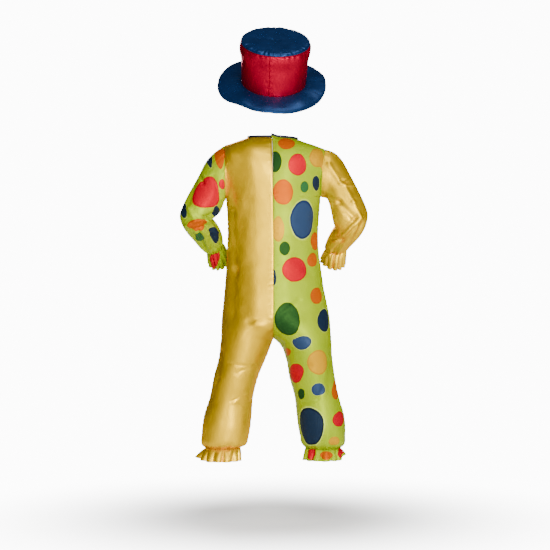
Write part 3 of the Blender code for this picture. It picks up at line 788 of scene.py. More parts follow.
    @staticmethod
    def ankle_tuck(drops: Array) -> Array:
        """How the leg balloons over the ankle elastic and turns in under itself."""
        above = np.maximum(0.0, ANKLE_DROP - drops)
        return 1.6 * np.exp(-((above - 15) / 9) ** 2) - ANKLE_TUCK * np.exp(-(above / 5) ** 2)

    @staticmethod
    def ring_share(grid: Array) -> Array:
        """Place of each point across its row, from -1 at its middle seam to 1."""
        inner, outer = grid[:, :1, 0], grid[:, -1:, 0]
        return (2 * grid[:, :, 0] - inner - outer) / np.maximum(outer - inner, 1e-6)

    @staticmethod
    def seam_puckers(edges: tuple, along: Array, seed: int) -> Array:
        """Rolled edges at the seams, with the small puckers of a sewn satin seam."""
        push = np.zeros(along.shape)
        for index, edge in enumerate(edges):
            rng = np.random.default_rng(seed * 7 + index)
            waves = sum(np.sin(2 * math.pi * along / rng.uniform(8.5, 19)
                               + rng.uniform(0, 6.28)) for _ in range(5)) / 2.2
            push += -0.75 * np.exp(-(edge / 1.7) ** 2)
            push += 0.42 * waves * np.exp(-((edge - 5) / 6.5) ** 2)
        return push


def ring_frames(rings: Sequence[Ring]) -> tuple[Array, Array, Array, Array]:
    """Centre, half width and the two directions of each ring of a tube."""
    outer = np.array([(r.out_x, r.y, -r.out_drop) for r in rings], dtype=float)
    inner = np.array([(r.in_x, r.y, -r.in_drop) for r in rings], dtype=float)
    centre = (outer + inner) / 2
    half = np.linalg.norm(outer - inner, axis=1) / 2
    wide = (outer - inner) / (2 * half[:, None])
    back = np.cross(wide, np.gradient(centre, axis=0))
    back /= np.linalg.norm(back, axis=1, keepdims=True)
    back *= np.sign(back[:, 1:2])
    return centre, half, wide, back


def within_plane(directions: Array, plane: Array) -> Array:
    """Unit directions turned into the plane that has a unit normal."""
    kept = directions - (directions @ plane)[:, None] * plane
    return kept / np.linalg.norm(kept, axis=1, keepdims=True)


def ring_plane(ring: Array) -> Array:
    """Unit normal of the plane that a ring of points lies in."""
    eighth = len(ring) // 8
    plane = np.cross(ring[0] - ring[2 * eighth], ring[eighth] - ring[3 * eighth])
    return plane / np.linalg.norm(plane)


def ring_angles(columns: int) -> Array:
    """Angles round a ring, from its inner seam, by the front, outside and back."""
    return np.linspace(-math.pi, math.pi, columns, endpoint=False)


def tube_uv(grid: Array) -> Array:
    """Flat place of each point of a tube: round from its back line, and along it.

    Args:
        grid: Rings of points that start at the inner seam.

    Returns:
        Places with one column more than the grid, for the seam's second edge.
    """
    back_column = 3 * grid.shape[1] // 4
    around = arc_along(np.concatenate([grid, grid[:, :1]], axis=1), 1)
    u = around - around[:, back_column][:, None]
    along = arc_along(grid, 0).mean(axis=1)[:, None]
    return np.stack([u, np.broadcast_to(along, u.shape)], axis=2)


@dataclass(frozen=True)
class Sleeve:
    """Sleeve from the armhole to the wrist elastic, bent at the elbow.

    Attributes:
        side: Wearer's side.
        head_gathers: How full its head is gathered into the shoulder.
        crumpled: How much its charted folds are deepened.
        head: Places of its first rings, close together beside the seam.
    """

    side: Side
    head_gathers: float
    crumpled: float
    columns: int = 160
    rows: int = 170
    head: tuple = (0, 0.03, 0.07, 0.12)

    def armhole(self, angles: Array) -> Array:
        """Loop that the sleeve is set into, from the shoulder tip round the back."""
        (tip_x, tip_z), (pit_x, pit_z) = self.side.tip, self.side.pit
        corners = np.linspace(0, 2 * math.pi, 17)
        fallen = (1 - np.cos(corners)) / 2
        depth = ARMHOLE_DEPTH * np.sin(corners)
        x = pit_x + (tip_x - pit_x) * (1 - fallen) ** 3 + SEAM
        y = depth + np.sign(np.round(depth, 6)) * SEAM / 2
        z = tip_z + (pit_z - tip_z) * fallen
        turned = angles % (2 * math.pi)
        return np.stack([np.interp(turned, corners, values) for values in (x, y, z)], axis=1)

    def base(self, along: Array, angles: Array) -> Array:
        """Rings of the sleeve at places along it, the first in its armhole."""
        rings = SLEEVES[self.side]
        steps = np.arange(len(rings))
        centre, half, wide, back = ring_frames(rings)
        centre, wide, back = (
            np.stack([curve(steps, part[:, k], along) for k in range(3)], axis=1)[:, None]
            for part in (centre, wide, back))
        half, deep = (curve(steps, part, along)[:, None, None]
                      for part in (half, [ring.deep for ring in rings]))
        cosine, sine = np.cos(angles)[None, :, None], np.sin(angles)[None, :, None]
        grid = centre + half * cosine * wide + deep * sine * back
        near = np.clip(1 - along, 0, 1)[:, None, None]
        return grid + near * (self.armhole(angles) - grid[:1])

    def folds(self, grid: Array, outward: Array) -> Array:
        """Push of the folds, each on the face that it is charted on."""
        place = np.stack([np.abs(grid[:, :, 0]), -grid[:, :, 2]], axis=2)
        push = np.zeros(place.shape[:2])
        for face in Face:
            facing = ramp(outward[:, :, 1] * face.sign, 0.05, 0.55)
            push += facing * sum(mark.push(place) for mark in SLEEVE_FOLDS[self.side, face])
        return push * self.crumpled

    def gathers(self, along: Array, angles: Array) -> Array:
        """Push of the gathers at the head and of the full cloth over the elastic."""
        wrist = np.maximum(0.0, len(SLEEVES[self.side]) - 1 - along)[:, None]
        fine, broad = elastic_gathers(self.side, False, angles)
        push = 1.7 * fine * np.exp(-wrist / 0.8) + 2.0 * broad * np.exp(-(wrist / 1.6) ** 2)
        push = push - WRIST_TUCK * np.exp(-(wrist / 0.28) ** 2)
        head = np.exp(-along / 1.1)[:, None] * np.maximum(0.12, np.cos(angles)) ** 0.7
        gathers = Gathers(83 + self.side.sign, 24, 38).around(angles)
        return push + self.head_gathers * gathers * head * (along[:, None] > 0)

    def shell(self) -> Shell:
        """Works out the sleeve with its folds and gathers."""
        angles = ring_angles(self.columns)
        last = len(SLEEVES[self.side]) - 1
        along = np.linspace(0.18, last, self.rows - len(self.head))
        along = np.concatenate([self.head, along])
        grid = self.base(along, angles) * (self.side.sign, 1, 1)
        uv = tube_uv(grid)
        push = self.gathers(along, angles) + self.folds(grid, self.outward(grid))
        u, v = uv[:, :-1, 0], uv[:, :-1, 1]
        push += 0.5 * Ripples(91 + self.side.sign, 34).over(u, v)
        push -= 0.8 * np.exp(-(v / 1.8) ** 2)
        push[0] = 0
        grid = grid + self.outward(grid) * push[:, :, None]
        return Shell(grid, self.outward(grid), uv, True)

    def outward(self, grid: Array) -> Array:
        """Directions out of the cloth, kept within the planes of both ends."""
        outward = -normals_of(grid, True) * self.side.sign
        outward[0] = within_plane(outward[0], np.array((1.0, 0.0, 0.0)))
        outward[-1] = within_plane(outward[-1], ring_plane(grid[-1]))
        return outward


@dataclass(frozen=True)
class Frill:
    """Gathered frill past the elastic of a wrist or an ankle.

    Attributes:
        side: Wearer's side.
        ankle: Whether it ends a leg rather than a sleeve.
        waves: How many waves it has round.
        wave_top: Height of its waves at the elastic.
        wave_hem: Their height at the hem.
        wave_slide: How far they lean over to the side there.
    """

    side: Side
    ankle: bool
    waves: int = 13
    columns: int = 312
    rows: int = 22
    wave_top: float = 0.8
    wave_hem: float = 5.6
    wave_slide: float = 1.4

    def ends(self) -> tuple[Ring, Hem]:
        """Rings at its top and at its hem."""
        if not self.ankle:
            return SLEEVES[self.side][-1], CUFF_HEMS[self.side]
        leg = LEGS[self.side][-1]
        ring = Ring(leg.outer, leg.drop, leg.inner, leg.drop, (leg.back - leg.front) / 2,
                    (leg.back + leg.front) / 2)
        return ring, ANKLE_HEMS[self.side]

    def waved(self, angles: Array, t: Array, number: int) -> tuple[Array, Array]:
        """Push of the waves, and how far they slide round, at shares of the length."""
        lean = 0.9 * Gathers(107 + number, 2, 5).around(angles)
        phase = self.waves * angles + lean
        tall = 1 + 0.35 * Gathers(101 + number, 2, 6).around(angles)
        rounded = 1.8 * np.sqrt(np.cos(phase / 2) ** 2 + 0.03) - 1.15
        height = self.wave_top + (self.wave_hem - self.wave_top) * t ** 0.8
        return height * tall * rounded, self.wave_slide * t * tall * np.sin(phase)

    def shell(self) -> Shell:
        """Works out the frill with its waves, fine gathers and narrow hem."""
        last, hem = self.ends()
        centre, half, wide, _ = ring_frames((last, hem))
        back = np.array((0.0, 1.0, 0.0))
        if not self.ankle:
            back = ring_frames(SLEEVES[self.side])[3][-1]
        axis = np.cross(back, wide[0])
        axis *= np.sign(axis @ (centre[1] - centre[0])) / np.linalg.norm(axis)
        start = centre[0] + SEAM * axis

        angles = ring_angles(self.columns)
        outermost = np.exp(-angles ** 2 / 0.12)
        t = np.linspace(0, 1, self.rows)[:, None]
        number = (1 if self.ankle else 3) + self.side.sign
        push, slide = self.waved(angles, t, number)
        push = push + hem.flare * t * outermost + self.small_gathers(angles, t)
        push = push + 0.35 * ramp(t, 0.84, 0.88) - 0.5 * np.exp(-((t - 0.83) / 0.03) ** 2)
        angles = angles + slide / hem.deep
        uneven = Gathers(113 + number, 3, 9).around(angles)
        eased = np.sin(t * math.pi / 2)
        reach_wide = blend(eased, half[0], half[1]) + push
        reach_back = blend(eased, last.deep, hem.deep) + push
        grid = (blend(t, start, centre[1])[:, None]
                + (reach_wide * np.cos(angles))[:, :, None] * blend(t, wide[0], wide[1])[:, None]
                + (reach_back * np.sin(angles))[:, :, None] * back)
        grid[:, :, 2] += hem.lift * t * outermost + 0.9 * t * t * uneven
        mirror = np.array((self.side.sign, 1, 1))
        grid = grid * mirror
        outward = -normals_of(grid, True) * self.side.sign
        outward[0] = within_plane(outward[0], axis * mirror)
        return Shell(grid, outward, tube_uv(grid), True)

    def small_gathers(self, angles: Array, t: Array) -> Array:
        """Fine gathers at the elastic, which run out towards the hem."""
        fine, broad = elastic_gathers(self.side, self.ankle, angles)
        if self.ankle:
            return (0.9 * fine * np.exp(-t / 0.2) + (1.4 * broad - ANKLE_TUCK)
                    * np.exp(-t / 0.3))
        return 1.2 * fine * np.exp(-t / 0.3) + (1.6 * broad - WRIST_TUCK) * np.exp(-t / 0.3)


@dataclass(frozen=True)
class Binding:
    """Narrow navy binding round the neckline, open at the centre back.

    Attributes:
        height: Its height above the cloth's edge.
        thick: Its thickness over both layers.
        cloth: Thickness of one layer.
        lap: How far both layers reach down over the cloth.
        gap: Least distance of its left end from the middle.
        inset: How far its middle line lies inside the neckline.
        raised: How far its right end stands out with the corner of the cloth.
    """

    height: float = 4.5
    thick: float = 3.2
    cloth: float = 0.75
    lap: float = 1.3
    gap: float = 3.0
    inset: float = 0.75
    raised: tuple = (4.0, 3.0, 4.5)
    steps: int = 44

    def path(self) -> tuple[Array, Array]:
        """Middle line, from the left of the slit round to its right, and away from it."""
        columns = np.linspace(0, 0.5, self.steps)
        parts = []
        for side, face in ((Side.LEFT, Face.BACK), (Side.LEFT, Face.FRONT),
                           (Side.RIGHT, Face.FRONT), (Side.RIGHT, Face.BACK)):
            edge = BodyPanel(side, face).top_edge(columns) * (side.sign, face.sign, 1)
            if (side is Side.LEFT) == (face is Face.FRONT):
                edge = edge[::-1]
            parts.append(edge if not parts else edge[1:])
        path = np.concatenate(parts)
        path[0, 0] = max(path[0, 0], self.gap)
        away = path * (1, 1, 0)
        away /= np.linalg.norm(away, axis=1, keepdims=True)
        path = path - away * self.inset + (0, 0, SEAM + self.height / 2)
        end = np.linalg.norm(path - path[-1], axis=1)[:, None]
        end[:len(end) // 2] = np.inf
        return path + np.exp(-(end / 9) ** 2) * self.raised, away

    def grid(self) -> Array:
        """Rings of the binding along its path, a little uneven as sewn satin is."""
        path, away = self.path()
        half, high = self.thick / 2, self.height / 2
        steps = np.linspace(-1, 1, 9)
        arch = np.stack([half * steps, high - 0.9 * half * steps ** 4], axis=1)
        foot = -high - self.lap
        outer = np.concatenate([[(-half, foot), (-half, 0.0)], arch,
                                [(half, 0.0), (half, foot)]])
        inner = outer[::-1] * ((half - self.cloth) / half, 1.0)
        inner[2:-2, 1] -= self.cloth
        section = np.concatenate([outer, inner])[None]
        rings = path[:, None] + section[:, :, :1] * away[:, None]
        rings[:, :, 2] += section[:, :, 1]
        run = np.arange(len(path)) * 3.0
        uneven = 1 + 0.06 * np.sin(run / 6.3) + 0.05 * np.sin(run / 3.7 + 1)
        middle = rings.mean(axis=1, keepdims=True)
        return middle + (rings - middle) * uneven[:, None, None]


@dataclass(frozen=True)
class Tape:
    """Pale touch-and-close tape that backs the slit, just inside the back panels."""

    top: float = 8.0
    bottom: float = 228.0
    width: float = 16.0
    thick: float = 1.0
    inset: float = 4.0
    steps: int = 120
    corners: int = 24
    squared: float = 0.35

    def grid(self) -> Array:
        """Rings of the strip from top to bottom."""
        seam = BodyPanel(Side.RIGHT, Face.BACK).base()[:, 0]
        drops = np.linspace(self.top, self.bottom, self.steps)
        depth = np.interp(-drops, seam[::-1, 2], seam[::-1, 1]) - self.inset
        middle = (Side.LEFT.slit - Side.RIGHT.slit) / 2 * (1 - drops / SLIT_DROP)
        path = np.stack([middle, depth, -drops], axis=1)
        angle = np.arange(self.corners) * 2 * math.pi / self.corners
        ring = np.stack([np.cos(angle), np.sin(angle), 0 * angle], axis=1)
        ring = np.sign(ring) * np.abs(ring) ** self.squared
        return path[:, None] + ring * (self.width / 2, self.thick / 2, 0)


@dataclass(frozen=True)
class TopHat:
    """Soft top hat along its own axis: red crown wall, padded blue top and brim.

    Attributes:
        height: Height of the crown.
        base: Half width and half depth of the crown where it meets the brim.
        top: The same where it meets the padded top.
        seam: Angle of the crown's seam from the back.
        brim: Least reach of the brim.
        brim_back: How much wider it is behind.
        brim_left: How much wider it is at the wearer's left.
        brim_notch: How much narrower it is where it is crumpled.
        padding: Thickness of the brim.
    """

    height: float = 107.0
    base: tuple = (79.0, 86.0)
    top: tuple = (84.0, 81.0)
    seam: float = 0.13
    brim: float = 50.0
    brim_back: float = 13.0
    brim_left: float = 8.0
    brim_notch: float = 4.5
    padding: float = 5.5
    columns: int = 240

    @staticmethod
    def matrix() -> Matrix:
        """Places the hat: tipped back on the head and rolled a little."""
        tip = Matrix.Rotation(math.radians(-33.0), 4, "X")
        roll = Matrix.Rotation(math.radians(-3.0), 4, "Y")
        return Matrix.Translation(Vector((0.0, -6.0, 134.0)) * MM) @ roll @ tip

    def angles(self) -> Array:
        """Angles round the hat from its front, with 0 at the back, close at the seam."""
        close = self.seam + np.array((-4, -2.6, -1.6, -0.9, -0.4, 0, 0.4, 0.9, 1.6, 2.6, 4)) / 86
        even = ring_angles(self.columns)
        return np.sort(np.concatenate([even[np.abs(even - self.seam) > 0.055], close]))

    def gathers(self, seed: int, lowest: int, highest: int, turn: float = 0.0) -> Array:
        """Height of the gathers of one seed, round the hat."""
        return Gathers(seed, lowest, highest).around(self.angles() + turn)

    def oval(self, radii: Sequence, height: Array, grow: Array) -> Array:
        """Points of a level oval; grow widens it evenly."""
        angles = self.angles()
        parts = ((radii[0] + grow) * np.sin(angles), (radii[1] + grow) * np.cos(angles), height)
        return np.stack(np.broadcast_arrays(*parts), axis=-1)

    def crown(self) -> Shell:
        """Works out the crown's wall, full below its top edge and puckered there."""
        t = np.sin(np.linspace(0, math.pi / 2, 72)) ** 0.9
        t = (t - t[0]) / (t[-1] - t[0])
        full = 3.6 * np.exp(-((t - 0.86) / 0.16) ** 2) * (1 - ramp(t, 0.97, 1.0))
        ends = ramp(t, 0.01, 0.07) * (1 - ramp(t, 0.98, 1.0))
        fine, broad = self.gathers(131, 26, 46), self.gathers(137, 9, 17)
        low, drawn = self.gathers(139, 12, 26), self.gathers(179, 22, 34)
        corners = np.exp(-((np.abs(self.angles()) - 1.25) / 0.3) ** 2)
        away = (self.angles() - self.seam) * self.top[1]
        seam = np.exp(-(away / 0.8) ** 2)
        beside = np.exp(-((np.abs(away) - 4) / 3.5) ** 2)
        rings = []
        for place, swell, end in zip(t, full, ends):
            below = 1 - place
            push = (0.8 * fine * math.exp(-below / 0.07)
                    + 0.9 * broad * math.exp(-(below / 0.24) ** 2)
                    + 0.4 * low * math.exp(-place / 0.08)
                    + 0.8 * self.gathers(149, 2, 6, 0.5 * place) * math.sin(math.pi * place)
                    + 1.2 * drawn * corners * math.exp(-below / 0.2)
                    - 1.5 * seam + 0.35 * beside * math.sin(46 * place + 1))
            push = push * end + swell - 0.7 * (place > 0.9) * (1 - end)
            radii = blend(place, np.array(self.base), np.array(self.top))
            rings.append(self.oval(radii, self.height * place, push))
        grid = np.array(rings)
        outward = normals_of(grid, True)
        outward *= np.sign(outward[30, 0] @ (grid[30, 0] * (1, 1, 0)))
        for row in (0, -1):
            outward[row] = within_plane(outward[row], np.array((0.0, 0.0, 1.0)))
        return Shell(grid, outward, tube_uv(grid), True)

    @staticmethod
    def refined(profile: Sequence, steps: Array) -> Array:
        """Both columns of a profile, read at fractions of its rows."""
        return np.array([np.interp(steps, np.arange(len(profile)), column)
                         for column in zip(*profile)])

    def disc(self) -> Array:
        """Rings of the padded top, from the middle of its upper side to its underside."""
        # How far out from the wall's top edge, and how high above it
        profile = ((-83.9, 7.6), (-50, 7.9), (-26, 7.7), (-12, 7.3), (-5.5, 6.8), (-2.2, 5.7),
                   (-0.2, 4.0), (0.4, 2.4), (0.1, 1.1), (-0.8, 0.4), (-2.5, 0.0), (-45, 0.0))
        grow, rise = self.refined(profile, np.linspace(0, len(profile) - 1, 74))
        upper = ramp(rise, 0.2, 3.0)
        rim = np.exp(-((grow + 3) / 9) ** 2) * upper
        dent = np.exp(-((grow + 40) / 26) ** 2) * upper
        gathers = 1.0 * self.gathers(151, 30, 52) + 1.1 * self.gathers(157, 8, 20)
        middle = 0.9 * self.gathers(163, 2, 5)
        level = self.height + SEAM + rise
        return np.array([
            self.oval(self.top, up + edge * 0.55 * gathers + deep * middle,
                      out + 0.35 * edge * gathers)
            for out, up, edge, deep in zip(grow, level, rim, dent)])

    def brim_rings(self) -> Array:
        """Rings of the padded brim, round its inner edge, underside, rim and top."""
        # Shares of the reach and of the padding
        outline = ((0.0, 0.3), (0.0, 0.7), (0.04, 0.97), (0.12, 1.05), (0.3, 1.06),
                   (0.5, 1.08), (0.75, 1.05), (0.88, 0.98), (0.95, 0.84), (1.0, 0.62),
                   (1.0, 0.4), (0.96, 0.18), (0.88, 0.04), (0.7, -0.03), (0.4, -0.05),
                   (0.1, 0.0))
        outs, ups = self.refined((*outline, outline[0]), np.linspace(0, len(outline), 97)[:-1])
        angles = self.angles()
        back, left = np.maximum(0, np.cos(angles)), np.maximum(0, np.sin(angles))
        notch = np.exp(-((angles - 0.6) / 0.28) ** 2)
        reach = (self.brim + self.brim_back * back + self.brim_left * left
                 - self.brim_notch * notch)
        gathers, broad = 0.8 * self.gathers(167, 24, 44), self.gathers(173, 5, 12)
        swing = (3.0 * np.sin(3 * angles + 0.6) - 12.0 * back - 6.0 * left + 2.5 * notch
                 + 0.7 * broad)
        inner = self.oval(self.base, 0.0, 0.2)
        outward = inner / np.linalg.norm(inner, axis=1, keepdims=True)
        rings = []
        for out, up in zip(outs, ups):
            near = math.exp(-out / 0.16) * (out > 0.01)
            rim = math.exp(-(1 - out) / 0.10)
            plump = math.sin(math.pi * out)
            relief = gathers * (0.6 * near + 0.45 * rim) + 1.1 * broad * plump
            ring = inner + (out * reach - 0.5 * rim * np.abs(gathers))[:, None] * outward
            ring[:, 2] = up * self.padding + out ** 2 * swing + (relief if up > 0.5 else -relief)
            rings.append(ring)
        return np.array(rings)


@dataclass(frozen=True)
class Spots:
    """Turns spots charted as seen into ellipses on the flat cloth.

    Attributes:
        shell: Cloth that they are printed on.
        hidden: Distance added to points of the cloth that face away.
        margin: Fewest rows or columns between a spot's centre and the cloth's edge.
    """

    shell: Shell
    hidden: float = 400.0
    margin: int = 3

    def nearest(self, spot: Spot) -> tuple[int, int]:
        """Row and column of the cloth's point that shows nearest to a spot's centre."""
        points = self.shell.outer
        away = np.hypot(points[:, :, 0] - spot.x, -points[:, :, 2] - spot.drop)
        facing = self.shell.outward[:, :, 1] * spot.sign > 0.02
        away = np.where(facing, away, away + self.hidden)
        found = np.unravel_index(np.argmin(away), away.shape)
        return tuple(int(np.clip(n, self.margin, size - 1 - self.margin))
                     for n, size in zip(found, away.shape))

    def place(self, spot: Spot) -> tuple[Vector, float, Vector]:
        """Centre, turn and half sizes of a spot in the cloth's UV, in metres."""
        i, k = self.nearest(spot)
        seen = self.shell.outer[:, :, [0, 2]]
        flat = self.shell.uv
        seen_steps, flat_steps = (
            np.stack([grid[i, k + 2] - grid[i, k - 2], grid[i + 2, k] - grid[i - 2, k]], axis=1)
            for grid in (seen, flat))
        stretch = flat_steps @ np.linalg.pinv(seen_steps, rcond=0.12)
        offset = np.array((spot.x, -spot.drop)) - seen[i, k]
        centre = flat[i, k] + stretch @ np.clip(offset, -12, 12)
        turn = math.radians(spot.turn)
        axes = np.array(((math.cos(turn), -math.sin(turn)), (math.sin(turn), math.cos(turn))))
        turned, sizes, _ = np.linalg.svd(stretch @ axes @ np.diag((spot.wide, spot.high)))
        sizes = np.clip(sizes, 0.8 * min(spot.wide, spot.high), 2.2 * max(spot.wide, spot.high))
        angle = math.atan2(turned[1, 0], turned[0, 0])
        return Vector((*centre, 0)) * MM, angle, Vector((*sizes, 1000)) * MM


def feed(tree: bpy.types.NodeTree, socket: bpy.types.NodeSocket, value: object) -> None:
    """Gives an input a plain value, or joins it to the output of another node."""
    value = getattr(value, "socket", value)
    if isinstance(value, bpy.types.NodeSocket):
        tree.links.new(value, socket)
    else:
        socket.default_value = value


def add_node(tree: bpy.types.NodeTree, kind: str, inputs: Optional[dict] = None,
             **settings: object) -> bpy.types.Node:
    """Adds a node to a tree.

    Args:
        tree: Tree of a material, of the world or of a modifier.
        kind: Type of the node.
        inputs: What feeds its inputs, by their name or place.
        settings: Its properties.

    Returns:
        The node.
    """
    node = tree.nodes.new(kind)
    for key, value in settings.items():
        setattr(node, key, value)
    for key, value in (inputs or {}).items():
        feed(tree, node.inputs[key], value)
    return node


def placed(name: str, data: bpy.types.ID) -> bpy.types.Object:
    """Adds an object to the scene."""
    thing = bpy.data.objects.new(name, data)
    bpy.context.scene.collection.objects.link(thing)
    return thing


@dataclass(frozen=True)
class Value:
    """Output socket of a material that takes part in plain arithmetic."""

    canvas: Canvas
    socket: bpy.types.NodeSocket

    def __mul__(self, other: float | Value) -> Value:
        """Product of two values."""
        return self.canvas.math("MULTIPLY", self, other)

    def least(self, other: Value) -> Value:
        """The smaller of two values."""
        return self.canvas.math("MINIMUM", self, other)

    def ramp(self, low: float, high: float, start: float = 0.0, end: float = 1.0) -> Value:
        """Eases from the start value at low to the end value at high."""
        inputs = {"Value": self, "From Min": low, "From Max": high, "To Min": start,
                  "To Max": end}
        return self.canvas.value("ShaderNodeMapRange", inputs, interpolation_type="SMOOTHSTEP")


class Canvas:
    """One material's node tree, with short ways to add and join its nodes."""

    def __init__(self, name: str) -> None:
        """Makes a material that has a surface shader and its output."""
        self.material = bpy.data.materials.new(name)
        self.material.use_nodes = True
        self.tree = self.material.node_tree
        self.shader = self.tree.nodes["Principled BSDF"]

    def node(self, kind: str, inputs: Optional[dict] = None,
             **settings: object) -> bpy.types.Node:
        """Adds a node to the material."""
        return add_node(self.tree, kind, inputs, **settings)

    def value(self, kind: str, inputs: dict, output: int | str = 0,
              **settings: object) -> Value:
        """Adds a node and gives one output of it as a value."""
        return Value(self, self.node(kind, inputs, **settings).outputs[output])

    def math(self, operation: str, *values: float | Value) -> Value:
        """Adds a math node fed by values or numbers."""
        return self.value("ShaderNodeMath", dict(enumerate(values)), operation=operation)

    def length(self, vector: bpy.types.NodeSocket) -> Value:
        """Length of a vector."""
        return self.value("ShaderNodeVectorMath", {0: vector}, "Value", operation="LENGTH")

    def uv(self) -> bpy.types.NodeSocket:
        """The piece's own place on the flat cloth, in metres."""
        return self.node("ShaderNodeUVMap", uv_map="cloth").outputs["UV"]

    def here(self) -> bpy.types.NodeSocket:
        """Place in the object's own space, in metres."""
        return self.node("ShaderNodeTexCoord").outputs["Object"]

    def scaled(self, vector: bpy.types.NodeSocket, scale: Sequence) -> bpy.types.NodeSocket:
        """A vector stretched along its axes."""
        return self.node("ShaderNodeMapping", {"Vector": vector, "Scale": scale},
                         vector_type="POINT").outputs["Vector"]

    def noise(self, vector: bpy.types.NodeSocket, scale: float, detail: float = 2.0,
              rough: float = 0.5, distort: float = 0.0) -> Value:
        """Smooth noise, from 0 to 1."""
        return self.value("ShaderNodeTexNoise", {
            "Vector": vector, "Scale": scale, "Detail": detail, "Roughness": rough,
            "Distortion": distort}, "Fac")

    def mix(self, share: Value, first: object, second: tuple) -> bpy.types.NodeSocket:
        """Mixes two colours, of which the first may be a socket."""
        if isinstance(first, tuple):
            first = (*first, 1.0)
        return self.node("ShaderNodeMix", {0: share, 6: first, 7: (*second, 1.0)},
                         data_type="RGBA", clamp_factor=True).outputs[2]

    def bump(self, height: Value, strength: float, distance: float,
             before: Optional[bpy.types.NodeSocket] = None) -> bpy.types.NodeSocket:
        """Turns a height into a bumped normal, on top of an earlier one."""
        inputs = {"Strength": strength, "Distance": distance, "Height": height}
        if before is not None:
            inputs["Normal"] = before
        return self.node("ShaderNodeBump", inputs).outputs["Normal"]

    def dress(self, **values: object) -> bpy.types.Material:
        """Feeds the surface shader's own inputs."""
        for key, value in values.items():
            feed(self.tree, self.shader.inputs[key.replace("_", " ")], value)
        return self.material


@dataclass(frozen=True)
class Satin:
    """Polyester satin: a glossy woven cloth with a soft, wide highlight.

    Attributes:
        name: Name of the finish.
        colour: Its colour in linear light.
        deep: Colour of its darker patches.
        slot: Material slot of the record; not used.
        roughness: Width of its highlight.
        metallic: How much of the highlight takes the cloth's own colour.
        specular: Strength of the highlight.
        shine: Tint of the highlight.
        sheen: Strength of the soft glow at its edges.
        crumple: Strength of its small creases.
        weave: Strength of its fine threads.
    """

    name: str
    colour: tuple
    deep: tuple
    slot: str
    roughness: float = 0.36
    metallic: float = 0.25
    specular: float = 0.5
    shine: tuple = (1.0, 1.0, 1.0)
    sheen: float = 0.0
    crumple: float = 0.3
    weave: float = 0.12

    def paint(self, name: str, shell: Optional[Shell] = None,
              spots: Sequence[Spot] = ()) -> bpy.types.Material:
        """Makes the material of one piece.

        Args:
            name: Name of the piece.
            shell: Cloth that spots are printed on.
            spots: Spots of the print.

        Returns:
            The material.
        """
        canvas = Canvas(f"{self.name}_{name}")
        place, cloth = canvas.here(), canvas.uv()
        patches = canvas.noise(place, 16.0, 3.0).ramp(0.35, 0.7)
        colour = canvas.mix(patches * 0.4, self.colour, self.deep)
        if spots:
            colour = Print(canvas, Spots(shell), spots).over(colour)
        creases = canvas.noise(canvas.scaled(place, (1, 1, 0.6)), 34.0, 2.0, 0.45, 0.6)
        threads = canvas.noise(canvas.scaled(cloth, (60, 700, 1)), 1.0, 1.0)
        creased = canvas.bump(creases, self.crumple, 0.004)
        rough = canvas.noise(place, 60.0, 2.0).ramp(0.3, 0.7, self.roughness - 0.04,
                                                     self.roughness + 0.05)
        return canvas.dress(
            Normal=canvas.bump(threads, self.weave, 0.0005, creased),
            Base_Color=colour, Roughness=rough, Metallic=self.metallic,
            Specular_IOR_Level=self.specular, Specular_Tint=(*self.shine, 1.0),
            Sheen_Weight=self.sheen, Sheen_Roughness=0.4)


@dataclass(frozen=True)
class Print:
    """Printed spots over a ground colour, each with a darker rim and a pale halo.

    Attributes:
        canvas: Material that they are added to.
        places: Where spots lie on the cloth.
        spots: The spots.
    """

    canvas: Canvas
    places: Spots
    spots: Sequence[Spot]
    halo: tuple = (0.62, 0.74, 0.16)
    wander: float = 0.006

    def over(self, ground: bpy.types.NodeSocket) -> bpy.types.NodeSocket:
        """Lays the spots over a ground colour."""
        cloth = self.wobbly(self.canvas.uv())
        for ink in Ink:
            distances = [self.distance(cloth, spot) for spot in self.spots if spot.ink is ink]
            if not distances:
                continue
            nearest = reduce(Value.least, distances)
            layers = [(0.985, 1.02, 1.0, ink.rim), (0.86, 0.93, 1.0, ink.fill)]
            if ink in (Ink.BLUE, Ink.NAVY):
                layers.insert(0, (1.03, 1.10, 0.4, self.halo))
            for inside, outside, strength, colour in layers:
                share = nearest.ramp(inside, outside, strength, 0.0)
                ground = self.canvas.mix(share, ground, colour)
        return ground

    def wobbly(self, cloth: bpy.types.NodeSocket) -> bpy.types.NodeSocket:
        """The cloth's places, moved a little so no spot is a perfect ellipse."""
        wander = (self.wander, self.wander, 0.0)
        noise = self.canvas.node("ShaderNodeTexNoise", {
            "Vector": self.canvas.scaled(cloth, (28, 28, 1)), "Scale": 1.0})
        moved = self.canvas.node("ShaderNodeVectorMath", {
            0: noise.outputs["Color"], 1: wander, 2: cloth}, operation="MULTIPLY_ADD")
        centred = self.canvas.node("ShaderNodeVectorMath", {
            0: moved.outputs[0], 1: Vector(wander) / 2}, operation="SUBTRACT")
        return centred.outputs[0]

    def distance(self, cloth: bpy.types.NodeSocket, spot: Spot) -> Value:
        """Distance from a spot's centre, 1 at its edge."""
        centre, turn, sizes = self.places.place(spot)
        inside = self.canvas.node("ShaderNodeMapping", {
            "Vector": cloth, "Location": centre, "Rotation": (0, 0, turn), "Scale": sizes},
            vector_type="TEXTURE")
        return self.canvas.length(inside.outputs[0])


